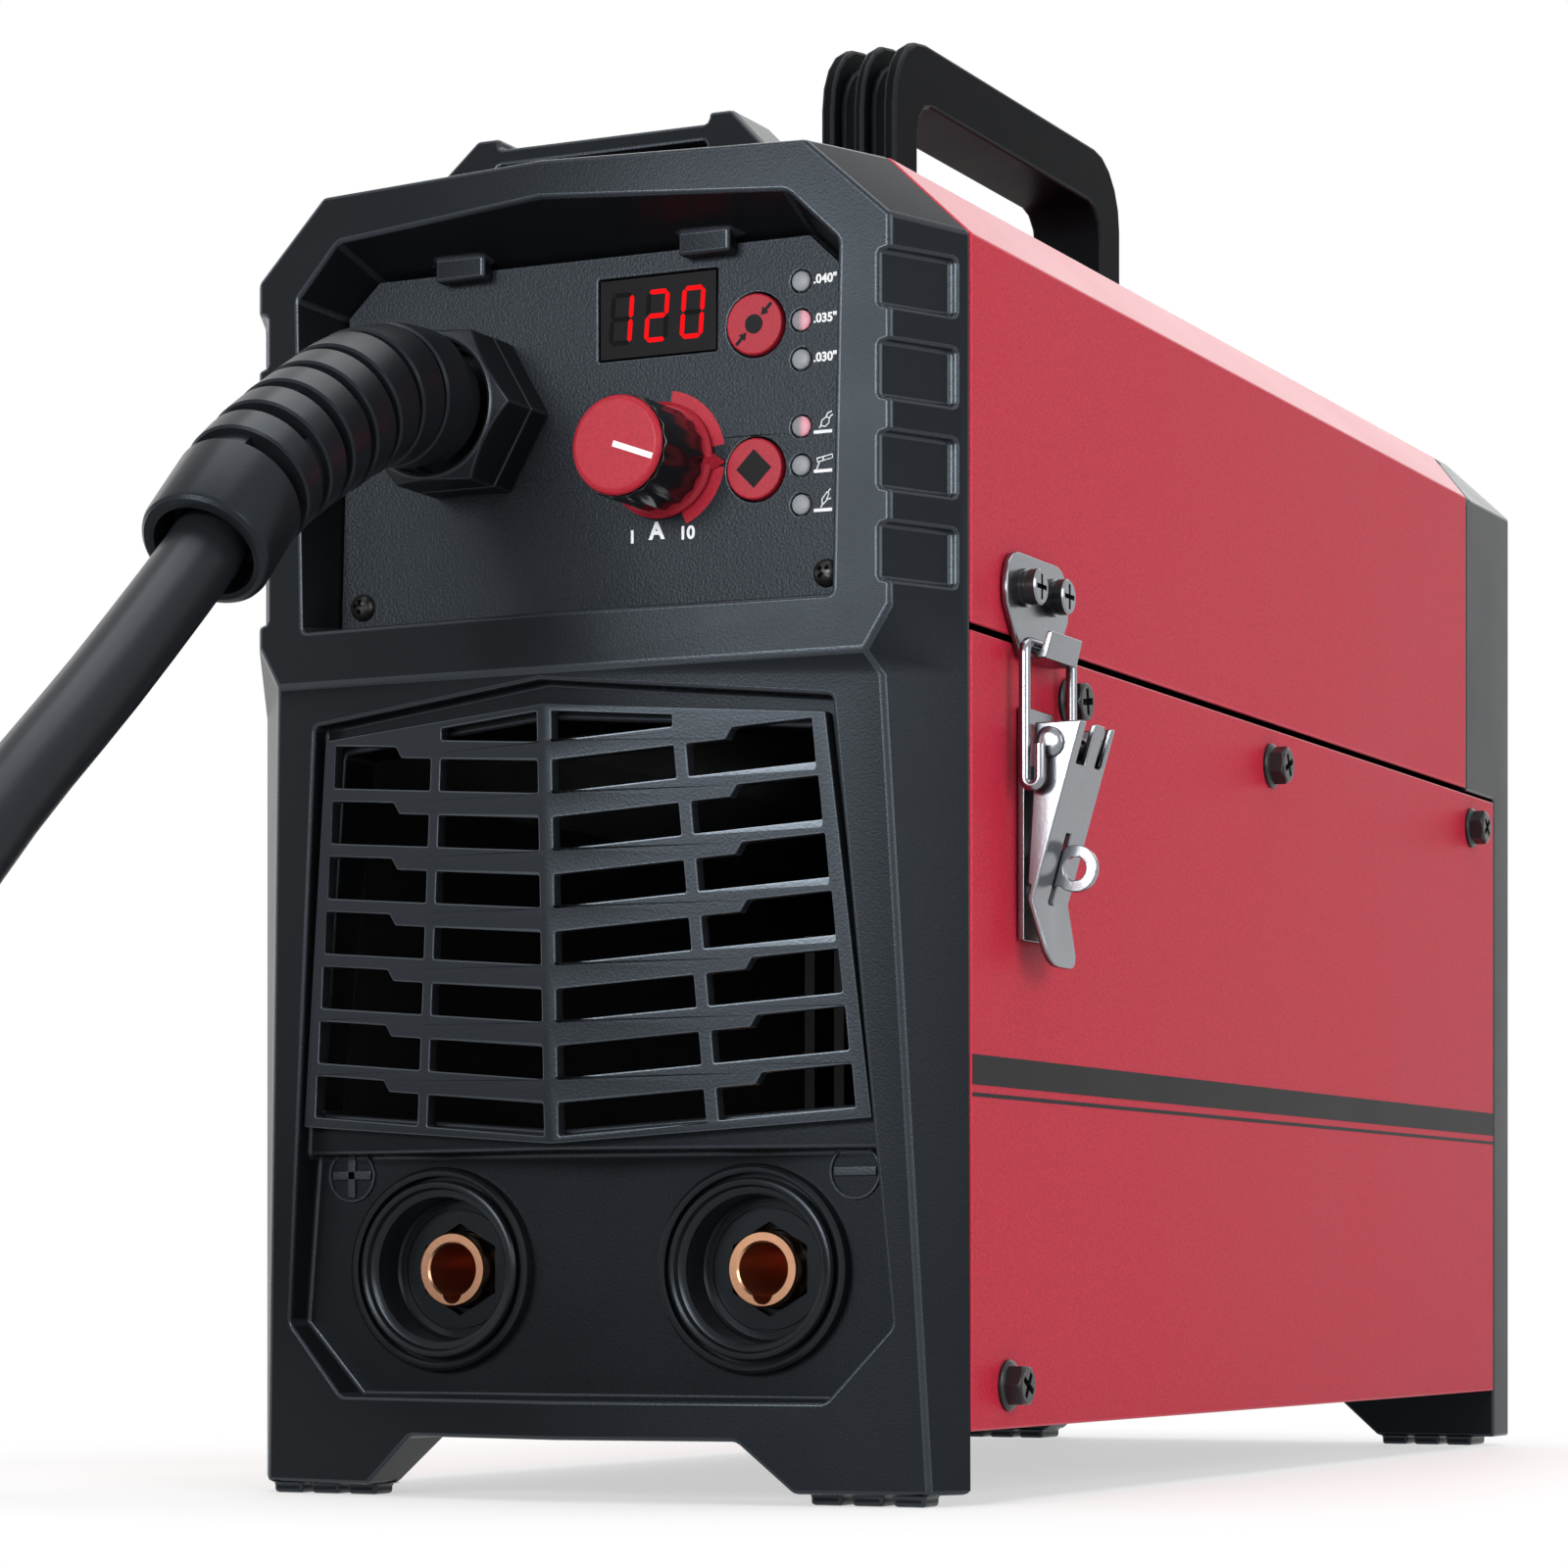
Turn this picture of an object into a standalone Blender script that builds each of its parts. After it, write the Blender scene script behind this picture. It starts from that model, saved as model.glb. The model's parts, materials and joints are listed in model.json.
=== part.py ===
# A compact wire-feed welding machine, modelled piece by piece in metres, +Z up, front facing -Y.
# Places are measured from the case's middle plane (x), the face of the control panel (y) and the
# floor (z). Names ending in _DROP go down from the top of the case, _UNDER and _OVER down and up
# from the split between lid and case, _INSET in from its side and _SETBACK forward from its rear.
# One empty carries every piece and moves the case to the middle of its own box.

import math

import bmesh
import bpy
from mathutils import Matrix, Vector

# Fits between pieces
GAP = 0.0003
RUN = 0.0005

# Case
CASE_WIDTH = 0.1382
CASE_HEIGHT = 0.2273
CASE_CHAMFER_X = 0.0151
CASE_CHAMFER_Z = 0.0142
SHEET = 0.0012
SPLIT_DROP = 0.0799
SPLIT_GAP = 0.0012
PANEL_BOTTOM_Z = 0.0126
PANEL_SETBACK = 0.0120
LID_SIDE_SETBACK = 0.0333
LID_TOP_SETBACK = 0.0093
REAR_Y = 0.3200
FLANGE = 0.0160
DECK_DROP = 0.0019

# Front bezel
PROW = 0.0181
BEZEL_REAR_Y = 0.0060
BROW_UNDER = 0.0064
BROW_ANGLE = 8.194
LOWER_ANGLE = 10.592
LOWER_LEAN_ANGLE = 2.108
HEAD_INSET = 0.0080
HEAD_TOP_INSET = 0.0075
HEAD_DROP = 0.0133
HEAD_LOW_OVER = 0.0022
WAIST_INSET = 0.0123
WAIST_UNDER = 0.0052
NECK_INSET = 0.0103
NECK_UNDER = 0.0092
FLARE_INSET = 0.0045
FACET_UNDER = 0.0084
FOOT_Z = 0.0020
ARCH_INSET = 0.0375
ARCH_FOOT_INSET = 0.0277
ARCH_Z = 0.0107
FOOT_PAD_WIDTH = 0.0060
FOOT_PAD_PITCH = 0.0076
FOOT_PAD_COUNT = 3
FOOT_PAD_FRONT_Y = -0.0005
GRIP_COUNT = 4
GRIP_HEIGHT = 0.0094
GRIP_TOP_DROP = 0.0239
GRIP_LOW_MARGIN = 0.0086
GRIP_DEPTH = 0.0015
GRIP_MARGIN = 0.0032
HUMP_INSET = 0.0317
HUMP_TOP_INSET = 0.0441
HUMP_RISE = 0.0112
HUMP_FRONT_Y = 0.0025
HUMP_SLANT = 0.0026
HUMP_REAR_Y = 0.0192
HUMP_BAR_INSET = 0.0486
HUMP_BAR_DROP = 0.0020
HUMP_SLOT_HEIGHT = 0.0032
HUMP_SLOT_DEPTH = 0.0040

# Control recess and panel
PANEL_TOP_DROP = 0.0131
PANEL_TOP_INSET = 0.0271
PANEL_SHOULDER_DROP = 0.0190
PANEL_SHOULDER_INSET = 0.0208
PANEL_LOW_INSET = 0.0192
PANEL_LOW_OVER = 0.0059
PANEL_THICK = 0.0020
PANEL_LEDGE = 0.0030
RECESS_OVERRUN = 2.0
RECESS_TOP_DROP = 0.0068
RECESS_TOP_INSET = 0.0253
RECESS_SHOULDER_DROP = 0.0164
RECESS_SHOULDER_INSET = 0.0148
RECESS_LOW_INSET = 0.0173
RECESS_LOW_OVER = 0.0035
TAB_X = 0.0238
TAB_WIDTH = 0.0098
TAB_REACH = 0.0042
TAB_THICK = 0.0032

# Controls, set out from the row of lights leftwards and from the top of the case
DISPLAY_STEP = 0.0188
DISPLAY_DROP = 0.0240
DISPLAY_WIDTH = 0.0223
DISPLAY_HEIGHT = 0.0136
KNOB_STEP = 0.0178
KNOB_DROP = 0.0491
KNOB_RADIUS = 0.0090
KNOB_LENGTH = 0.0175
KNOB_FLUTES = 18
KNOB_FLUTE_DEPTH = 0.0005
KNOB_CAP_RADIUS = 0.0085
KNOB_CAP_THICK = 0.0014
SKIRT_RADIUS = 0.0100
SKIRT_THICK = 0.0014
POINTER_REACH = 0.0122
POINTER_ANGLE = 20.0
POINTER_SPREAD_ANGLE = 14.0
SHAFT_RADIUS = 0.0030
POT_RADIUS = 0.0080
BUTTON_STEP = 0.0085
BUTTON_RADIUS = 0.00525
BUTTON_PROUD = 0.0008
BUTTON_TRAVEL = 0.0006
WIRE_BUTTON_DROP = 0.0274
MODE_BUTTON_DROP = 0.0519
LIGHT_INSET = 0.0286
LIGHT_RADIUS = 0.0017
LIGHT_PITCH = 0.0066
LIGHT_COUNT = 3
LIGHT_BAR_MARGIN = 0.0025
BOARD_Y = 0.0095
BOARD_THICK = 0.0016
BOARD_MARGIN = 0.0040

# Lower recess, grille and sockets
SINK_TOP_UNDER = 0.0080
SINK_SHOULDER_INSET = 0.0190
SINK_SHOULDER_UNDER = 0.0123
SINK_LOW_INSET = 0.0105
SINK_LOW_Z = 0.0303
SINK_CORNER_INSET = 0.0220
SINK_CORNER_Z = 0.0175
SINK_SPLIT_Z = 0.0600
SOCKET_PLATE_Y = 0.0030
GRILLE_SET = 0.0012
GRILLE_THICK = 0.0026
GRILLE_TOP_UNDER = 0.0118
GRILLE_SHOULDER_INSET = 0.0206
GRILLE_SHOULDER_UNDER = 0.0147
GRILLE_LOW_INSET = 0.0138
GRILLE_LOW_Z = 0.0650
GRILLE_KEEL_Z = 0.0611
GRILLE_LEDGE = 0.0025
SLOT_SPACING = 0.0097
SLOT_SILL = 0.00122
SLOT_FIRST_UNDER = 0.0270
SLOT_ANGLE = 4.745
SLOT_HEIGHT = 0.0055
SLOT_STEP = 0.0019
SLOT_STEP_RUN = 0.0012
SLOT_STEP_START = 0.0085
RIDGE_HALF = 0.0014
MULLION_INSET = 0.0466
MULLION_ANGLE = 4.113
MULLION_WIDTH = 0.0022
RAIL_MARGIN = 0.0026
PEAK_SILL = 0.0065
PEAK_HEIGHT = 0.0051
PEAK_LOW_HEIGHT = 0.0020
SOCKET_INSET = 0.0386
SOCKET_Z = 0.0398
SOCKET_RADIUS = 0.0180
SOCKET_PROUD = 0.0025
SOCKET_BARREL = 0.0148
SOCKET_WELL = 0.0128
SOCKET_WELL_Y = 0.0085
SOCKET_REAR_Y = 0.0220
CONTACT_RADIUS = 0.0066
CONTACT_BORE = 0.0046
CONTACT_FRONT_Y = 0.0056
CONTACT_REAR_Y = 0.0400
CONTACT_BORE_DEPTH = 0.0260

# Torch cable outlet
GLAND_INSET = 0.0462
GLAND_DROP = 0.0393
GLAND_FLAT_RADIUS = 0.0150
GLAND_FLANGE_THICK = 0.0058
GLAND_NUT_THICK = 0.0098
GLAND_NUT_RADIUS = 0.0149
GLAND_NUT_FACE = 0.0134
GLAND_TUBE_RADIUS = 0.0112
GLAND_TUBE_TAIL = 0.0070
GUIDE_RADIUS = 0.0030
GUIDE_REAR_Y = 0.0605

# Inside of the lower case
INNER_BOARD_Z = 0.0300
INNER_BOARD_INSET = 0.0131
INNER_BOARD_FRONT_Y = 0.0500
INNER_BOARD_REAR_Y = 0.2500
POST_RADIUS = 0.0040
SINK_FIN_COUNT = 8
HEAT_SINK_X = 0.0080
HEAT_SINK_WIDTH = 0.0440
HEAT_SINK_HEIGHT = 0.0700
HEAT_SINK_FRONT_Y = 0.0700
HEAT_SINK_REAR_Y = 0.2200
HEAT_SINK_BASE = 0.0060
HEAT_SINK_FIN = 0.0020
RING_X = -0.0260
RING_Y = 0.1400
RING_RADIUS = 0.0200
RING_TUBE = 0.0100

# Wire feeder and spool carrier
FEED_Y = 0.0750
FEED_PLATE_X = -0.0140
FEED_PLATE_THICK = 0.0030
FEED_PLATE_HALF = 0.0300
FEED_FOOT = 0.0140
MOTOR_RADIUS = 0.0180
MOTOR_LENGTH = 0.0480
MOTOR_EDGE = 0.0020
MOTOR_SHAFT_RADIUS = 0.0040
ROLL_RADIUS = 0.0110
ROLL_WIDTH = 0.0100
ROLL_GROOVE = 0.0006
PRESS_RADIUS = 0.0090
PRESS_GAP = 0.0006
ARM_THICK = 0.0030
ARM_HALF = 0.0045
ARM_PIVOT_OFFSET = 0.0170
ARM_REACH = 0.0130
ARM_PIN_RADIUS = 0.0030
SPINDLE_Y = 0.2150
SPINDLE_RADIUS = 0.0040
SPINDLE_FLANGE = 0.0160
SPINDLE_HEIGHT = 0.0560
HUB_RADIUS = 0.0078
HUB_FLANGE = 0.0200
HUB_FLANGE_THICK = 0.0030
HUB_HEIGHT = 0.0460

# Rear end
REAR_WALL = 0.0035
REAR_PLATE_SETBACK = 0.0150
REAR_PLATE_THICK = 0.0020
FAN_SIZE = 0.0800
FAN_DEPTH = 0.0250
FAN_Z = 0.0800
FAN_RIM = 0.0018
FAN_TIP_GAP = 0.0017
FAN_HUB_RADIUS = 0.0170
FAN_HUB_DEPTH = 0.0160
FAN_BLADES = 7
FAN_BLADE_THICK = 0.0016
FAN_BLADE_HALF = 0.0088
FAN_BLADE_ROOT = 0.0034
FAN_BLADE_ANGLE = 38.0
FAN_STRUT = 0.0040
FAN_PIN_RADIUS = 0.0020
VENT_HEIGHT = 0.0050
VENT_PITCH = 0.0082
SWITCH_INSET = 0.0391
REAR_ITEM_OVER = 0.0246
SWITCH_WIDTH = 0.0150
SWITCH_HEIGHT = 0.0210
SWITCH_DEPTH = 0.0180
SWITCH_RIM = 0.0020
ROCKER_ANGLE = 10.0
ROCKER_PROUD = 0.0035
MAINS_INSET = 0.0391
MAINS_RADIUS = 0.0110
MAINS_BORE = 0.0042
MAINS_LENGTH = 0.0110
MAINS_NECK = 0.0088
MAINS_COLLAR = 0.0066

# Carrying handle
HANDLE_FRONT_Y = 0.1110
HANDLE_REAR_Y = 0.2310
HANDLE_RISE = 0.0545
HANDLE_LEG = 0.0110
HANDLE_BAR = 0.0120
HANDLE_WIDTH = 0.0160
HANDLE_CORNER = 0.0150
HANDLE_INNER_CORNER = 0.0070
HANDLE_GROOVE = 0.0042
HANDLE_RIB = 0.0022
HANDLE_GROOVE_DEPTH = 0.0045

# Hinge on the left side
HINGE_FRONT_Y = 0.0300
HINGE_MARGIN = 0.0167
HINGE_KNUCKLES = 5
HINGE_OFFSET = 0.0025
KNUCKLE_RADIUS = 0.0021
HINGE_PIN_RADIUS = 0.0010
LEAF_THICK = 0.0010
LEAF_HEIGHT = 0.0130

# Draw latch on the right side
LATCH_Y = 0.0320
LATCH_PLATE = 0.0012
KEEPER_HALF = 0.0158
KEEPER_OVER = 0.0088
KEEPER_ROUND = 0.0060
KEEPER_SWEEP_ANGLE = 35.0
KEEPER_NECK_HALF = 0.0070
KEEPER_LOW_UNDER = 0.0034
HOOK_REACH = 0.0070
HOOK_RISE = 0.0046
BAIL_WIRE = 0.0010
BAIL_HALF = 0.0106
BAIL_OUT = 0.0033
BAIL_LOW_UNDER = 0.0294
BAIL_RETURN = 0.0068
BAIL_RETURN_RISE = 0.0080
LEVER_HALF = 0.0080
LEVER_TOP_UNDER = 0.0144
LEVER_TOP_OUT = 0.0114
LEVER_KNEE_UNDER = 0.0444
LEVER_KNEE_OUT = 0.0026
LEVER_TIP_UNDER = 0.0559
LEVER_TIP_OUT = 0.0052
LEVER_TIP_ROUND = 0.0040
LEVER_TAPER = 0.0012
LEVER_NOTCH_WIDTH = 0.0014
LEVER_NOTCH_DEPTH = 0.0055
LEVER_NOTCHES = (-0.0016, 0.0040)
PIVOT_OUT = 0.0068
PIVOT_UNDER = 0.0179
PIVOT_RADIUS = 0.0014
RIVET_RADIUS = 0.0027
RIVET_HEAD = 0.0010
EAR_HALF = 0.0062
EYE_UNDER = 0.0389
EYE_OUT = 0.0084
EYE_RADIUS = 0.0041
EYE_HOLE = 0.0021
EYE_THICK = 0.0014
EYE_NECK = 0.0029
LATCH_BASE_TOP_UNDER = 0.0114
LATCH_BASE_LOW_UNDER = 0.0514
LATCH_BASE_HALF = 0.0066

# Torch and its cable
CABLE_RADIUS = 0.0062
CABLE_ROUTE = [
    (-0.0229, -0.0869, 0.1517),
    (-0.0229, -0.1130, 0.1290),
    (-0.0230, -0.1400, 0.1068),
    (-0.0240, -0.1630, 0.0835),
    (-0.0280, -0.1820, 0.0575),
    (-0.0365, -0.2005, 0.0345),
    (-0.0485, -0.2180, 0.0180),
    (-0.0625, -0.2315, 0.0092),
    (-0.0780, -0.2390, 0.0067),
]
CABLE_POINTS = 26
BOOT_ROUTE = [
    (-0.0229, -0.0165, 0.1880),
    (-0.0229, -0.0260, 0.1880),
    (-0.0229, -0.0385, 0.1848),
    (-0.0229, -0.0515, 0.1782),
    (-0.0229, -0.0650, 0.1705),
    (-0.0229, -0.0764, 0.1623),
    (-0.0229, -0.0864, 0.1522),
]
BOOT_RADIUS = 0.0120
BOOT_END_RADIUS = 0.0106
BOOT_RIBS = 7
BOOT_COLLAR_STEPS = 6
BOOT_GROOVE = 0.0020
COIL_X = -0.1250
COIL_Y = -0.1660
COIL_RADIUS = 0.0675
COIL_SECTION = 0.0126
COIL_CORNER = 0.0044
TORCH_START = 0.0080
TORCH_LENGTH = 0.1050
TORCH_THICK = 0.0280
TORCH_REAR_HALF = 0.0120
TORCH_GRIP_HALF = 0.0130
TORCH_BACK = 0.0140
TORCH_BELLY = 0.0170
TORCH_HEAD = 0.0350
TORCH_EDGE = 0.0040
NECK_RADIUS = 0.0085
NECK_SOCKET = 0.0060
NECK_RUN = 0.0080
NECK_CURVE_RADIUS = 0.0320
NECK_ANGLE = 45.0
NECK_END = 0.0160
TIP_RADIUS = 0.0035
TIP_LENGTH = 0.0400
NOZZLE_RADIUS = 0.0105
NOZZLE_END_RADIUS = 0.0080
NOZZLE_LENGTH = 0.0520
NOZZLE_WALL = 0.0014
NOZZLE_LAP = 0.0100
TRIGGER_LENGTH = 0.0400
TRIGGER_HALF = 0.0060
TRIGGER_PROUD = 0.0055
TRIGGER_DEPTH = 0.0050
TRIGGER_TRAVEL = 0.0032
TRIGGER_MARGIN = 0.0080
TRIGGER_CROWN = 0.0260
TRIGGER_DIP = 0.0110
HOOK_STRIP = 0.0012
HOOK_HALF = 0.0050
HOOK_BASE = 0.0160
HOOK_CURL = 0.0045

# Worked out from the sizes above
CASE_HALF = CASE_WIDTH / 2
LATCH_REACH = max(EYE_OUT + EYE_RADIUS, LEVER_TOP_OUT + LATCH_PLATE)
HINGE_REACH = HINGE_OFFSET + KNUCKLE_RADIUS
CASE_X = (HINGE_REACH - LATCH_REACH) / 2
CASE_Y = (PROW - REAR_Y) / 2
SPLIT_Z = CASE_HEIGHT - SPLIT_DROP
LID_LOW_Z = SPLIT_Z + SPLIT_GAP / 2
PANEL_TOP_Z = SPLIT_Z - SPLIT_GAP / 2
DECK_Z = PANEL_TOP_Z - DECK_DROP
PANEL_REAR_Y = REAR_Y - PANEL_SETBACK
LID_SIDE_REAR_Y = REAR_Y - LID_SIDE_SETBACK
LID_TOP_REAR_Y = REAR_Y - LID_TOP_SETBACK
FRONT_START_Y = BEZEL_REAR_Y + GAP

BROW_RAKE = math.tan(math.radians(BROW_ANGLE))
LOWER_RAKE = math.tan(math.radians(LOWER_ANGLE))
LOWER_LEAN = math.tan(math.radians(LOWER_LEAN_ANGLE))
BROW_Z = SPLIT_Z - BROW_UNDER
HEAD_LOW_Z = SPLIT_Z + HEAD_LOW_OVER
WAIST_Z = SPLIT_Z - WAIST_UNDER
NECK_Z = SPLIT_Z - NECK_UNDER
FACET_Z = SPLIT_Z - FACET_UNDER
ARCH_HALF = CASE_HALF - ARCH_INSET
ARCH_FOOT_HALF = CASE_HALF - ARCH_FOOT_INSET
GRIP_RUN = CASE_HEIGHT - GRIP_TOP_DROP - HEAD_LOW_Z - GRIP_LOW_MARGIN
GRIP_PITCH = GRIP_RUN / (GRIP_COUNT - 1)
HUMP_HALF = CASE_HALF - HUMP_INSET
HUMP_TOP_HALF = CASE_HALF - HUMP_TOP_INSET
HUMP_BAR_HALF = CASE_HALF - HUMP_BAR_INSET

PANEL_LOW_Z = SPLIT_Z + PANEL_LOW_OVER
PANEL_TOP_HALF = CASE_HALF - PANEL_TOP_INSET
PANEL_SHOULDER_HALF = CASE_HALF - PANEL_SHOULDER_INSET
PANEL_LOW_HALF = CASE_HALF - PANEL_LOW_INSET
RECESS_LOW_Z = SPLIT_Z + RECESS_LOW_OVER
RECESS_TOP_HALF = CASE_HALF - RECESS_TOP_INSET
RECESS_SHOULDER_HALF = CASE_HALF - RECESS_SHOULDER_INSET
RECESS_LOW_HALF = CASE_HALF - RECESS_LOW_INSET
LIGHT_X = CASE_HALF - LIGHT_INSET
BUTTON_X = LIGHT_X - BUTTON_STEP
DISPLAY_X = BUTTON_X - DISPLAY_STEP
DISPLAY_Z = CASE_HEIGHT - DISPLAY_DROP
KNOB_X = BUTTON_X - KNOB_STEP
KNOB_Z = CASE_HEIGHT - KNOB_DROP
GLAND_X = GLAND_INSET - CASE_HALF
GLAND_Z = CASE_HEIGHT - GLAND_DROP

SINK_TOP_Z = SPLIT_Z - SINK_TOP_UNDER
SINK_SHOULDER_Z = SPLIT_Z - SINK_SHOULDER_UNDER
SINK_SHOULDER_HALF = CASE_HALF - SINK_SHOULDER_INSET
SINK_LOW_HALF = CASE_HALF - SINK_LOW_INSET
SINK_CORNER_HALF = CASE_HALF - SINK_CORNER_INSET
GRILLE_TOP_Z = SPLIT_Z - GRILLE_TOP_UNDER
GRILLE_SHOULDER_Z = SPLIT_Z - GRILLE_SHOULDER_UNDER
GRILLE_SHOULDER_HALF = CASE_HALF - GRILLE_SHOULDER_INSET
GRILLE_LOW_HALF = CASE_HALF - GRILLE_LOW_INSET
SLOT_FIRST_Z = SPLIT_Z - SLOT_FIRST_UNDER
SLOT_RUN = SLOT_FIRST_Z - GRILLE_KEEL_Z - SLOT_SILL
SLOT_ROWS = 1 + round(SLOT_RUN / SLOT_SPACING)
SLOT_PITCH = SLOT_RUN / (SLOT_ROWS - 1)
SLOT_RISE = math.tan(math.radians(SLOT_ANGLE))
GRILLE_SPREAD = (GRILLE_LOW_HALF - GRILLE_SHOULDER_HALF) / (GRILLE_SHOULDER_Z - GRILLE_LOW_Z)
MULLION_X = CASE_HALF - MULLION_INSET
MULLION_LEAN = math.tan(math.radians(MULLION_ANGLE))
SOCKET_X = CASE_HALF - SOCKET_INSET

INNER_BOARD_HALF = CASE_HALF - INNER_BOARD_INSET
REAR_PLATE_Y = REAR_Y - REAR_PLATE_SETBACK
REAR_ITEM_Z = SPLIT_Z + REAR_ITEM_OVER
SWITCH_X = SWITCH_INSET - CASE_HALF
MAINS_X = CASE_HALF - MAINS_INSET
FAN_HOLE_RADIUS = FAN_SIZE / 2 - FAN_RIM
FAN_BLADE_RADIUS = FAN_HOLE_RADIUS - FAN_TIP_GAP
VENT_COUNT = 1 + 2 * int((FAN_HOLE_RADIUS - VENT_HEIGHT) / VENT_PITCH)
HINGE_REAR_Y = LID_SIDE_REAR_Y - HINGE_MARGIN

KEEPER_Z = SPLIT_Z + KEEPER_OVER
KEEPER_LOW_Z = SPLIT_Z - KEEPER_LOW_UNDER
BAIL_AXIS_Z = KEEPER_LOW_Z + LATCH_PLATE + GAP + BAIL_WIRE
BAIL_LOW_Z = SPLIT_Z - BAIL_LOW_UNDER
LEVER_TOP_Z = SPLIT_Z - LEVER_TOP_UNDER
LEVER_KNEE_Z = SPLIT_Z - LEVER_KNEE_UNDER
LEVER_TIP_Z = SPLIT_Z - LEVER_TIP_UNDER
PIVOT_Z = SPLIT_Z - PIVOT_UNDER
EYE_Z = SPLIT_Z - EYE_UNDER
LATCH_BASE_TOP_Z = SPLIT_Z - LATCH_BASE_TOP_UNDER
LATCH_BASE_LOW_Z = SPLIT_Z - LATCH_BASE_LOW_UNDER

TURN_FRONT = (math.radians(90), 0, 0)
TURN_SIDE = (0, math.radians(90), 0)
TURN_REAR = (math.radians(-90), 0, 0)


def clear_scene():
    for item in list(bpy.data.objects):
        bpy.data.objects.remove(item)


def make_collection(name):
    collection = bpy.data.collections.new(name)
    bpy.context.scene.collection.children.link(collection)
    return collection


def make_material(name, colour, roughness, metallic=0.0):
    made = bpy.data.materials.new(name)
    made.use_nodes = True
    shader = made.node_tree.nodes["Principled BSDF"]
    shader.inputs["Base Color"].default_value = (*colour, 1)
    shader.inputs["Roughness"].default_value = roughness
    shader.inputs["Metallic"].default_value = metallic
    return made


clear_scene()
parts = make_collection("welding_machine")
cutters = make_collection("cutters")
machine = bpy.data.objects.new("machine", None)
machine.location = (CASE_X, CASE_Y, 0)
parts.objects.link(machine)

black_plastic = make_material("black_plastic", (0.030, 0.033, 0.036), 0.5)
panel_grey = make_material("panel_grey", (0.045, 0.050, 0.054), 0.55)
red_paint = make_material("red_paint", (0.55, 0.030, 0.050), 0.4)
red_plastic = make_material("red_plastic", (0.50, 0.030, 0.055), 0.45)
dark_glass = make_material("dark_glass", (0.010, 0.010, 0.011), 0.2)
frosted_lens = make_material("frosted_lens", (0.40, 0.38, 0.40), 0.5)
rubber = make_material("rubber", (0.018, 0.019, 0.020), 0.6)
bright_steel = make_material("bright_steel", (0.70, 0.70, 0.72), 0.25, 1.0)
dull_steel = make_material("dull_steel", (0.45, 0.46, 0.48), 0.45, 1.0)
copper = make_material("copper", (0.86, 0.50, 0.30), 0.3, 1.0)
aluminium = make_material("aluminium", (0.72, 0.73, 0.75), 0.4, 1.0)
board_green = make_material("board_green", (0.03, 0.14, 0.06), 0.5)
winding = make_material("winding", (0.55, 0.26, 0.12), 0.4, 0.6)


# Shared tools

def on_axis(axis, a, b, along):
    if axis == "X":
        return Vector((along, a, b))
    if axis == "Y":
        return Vector((a, along, b))
    return Vector((a, b, along))


def add_mesh(name, shape, material, location=(0, 0, 0), rotation=(0, 0, 0), smooth=None):
    mesh = bpy.data.meshes.new(name)
    shape.to_mesh(mesh)
    shape.free()
    mesh.materials.append(material)
    if smooth is not None:
        mesh.shade_smooth()
        mesh.set_sharp_from_angle(angle=math.radians(smooth))
    made = bpy.data.objects.new(name, mesh)
    made.location = location
    made.rotation_euler = rotation
    made.parent = machine
    parts.objects.link(made)
    return made


def block(x, y, z):
    shape = bmesh.new()
    size = Matrix.Diagonal((x[1] - x[0], y[1] - y[0], z[1] - z[0], 1))
    middle = Matrix.Translation((sum(x) / 2, sum(y) / 2, sum(z) / 2))
    bmesh.ops.create_cube(shape, size=1, matrix=middle @ size)
    return shape


def rod(axis, a, b, start, end, radius, sides=24, end_radius=None):
    shape = bmesh.new()
    turns = {"X": Matrix.Rotation(math.radians(90), 4, "Y"),
             "Y": Matrix.Rotation(math.radians(-90), 4, "X"),
             "Z": Matrix.Identity(4)}
    middle = Matrix.Translation(on_axis(axis, a, b, (start + end) / 2))
    last = radius if end_radius is None else end_radius
    bmesh.ops.create_cone(shape, cap_ends=True, segments=sides, radius1=radius, radius2=last,
                          depth=end - start, matrix=middle @ turns[axis])
    return shape


def prism(points, axis, start, end):
    shape = bmesh.new()
    face = shape.faces.new([shape.verts.new(on_axis(axis, a, b, start)) for a, b in points])
    grown = bmesh.ops.extrude_face_region(shape, geom=[face])
    moved = [v for v in grown["geom"] if isinstance(v, bmesh.types.BMVert)]
    bmesh.ops.translate(shape, verts=moved, vec=on_axis(axis, 0, 0, end - start))
    bmesh.ops.recalc_face_normals(shape, faces=shape.faces)
    return shape


def joined(*shapes):
    whole = bmesh.new()
    for shape in shapes:
        mesh = bpy.data.meshes.new("piece")
        shape.to_mesh(mesh)
        shape.free()
        whole.from_mesh(mesh)
        bpy.data.meshes.remove(mesh)
    return whole


def helper(target, shape):
    mesh = bpy.data.meshes.new(target.name + "_tool")
    shape.to_mesh(mesh)
    shape.free()
    made = bpy.data.objects.new(target.name + "_tool", mesh)
    made.location = target.location
    made.rotation_euler = target.rotation_euler
    made.parent = machine
    made.hide_render = True
    made.display_type = "WIRE"
    cutters.objects.link(made)
    return made


def combine(target, shape, operation):
    tool = target.modifiers.new(operation.lower(), "BOOLEAN")
    tool.operation = operation
    tool.object = helper(target, shape)
    return target


def cut(target, shape):
    return combine(target, shape, "DIFFERENCE")


def unite(target, shape):
    return combine(target, shape, "UNION")


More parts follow.
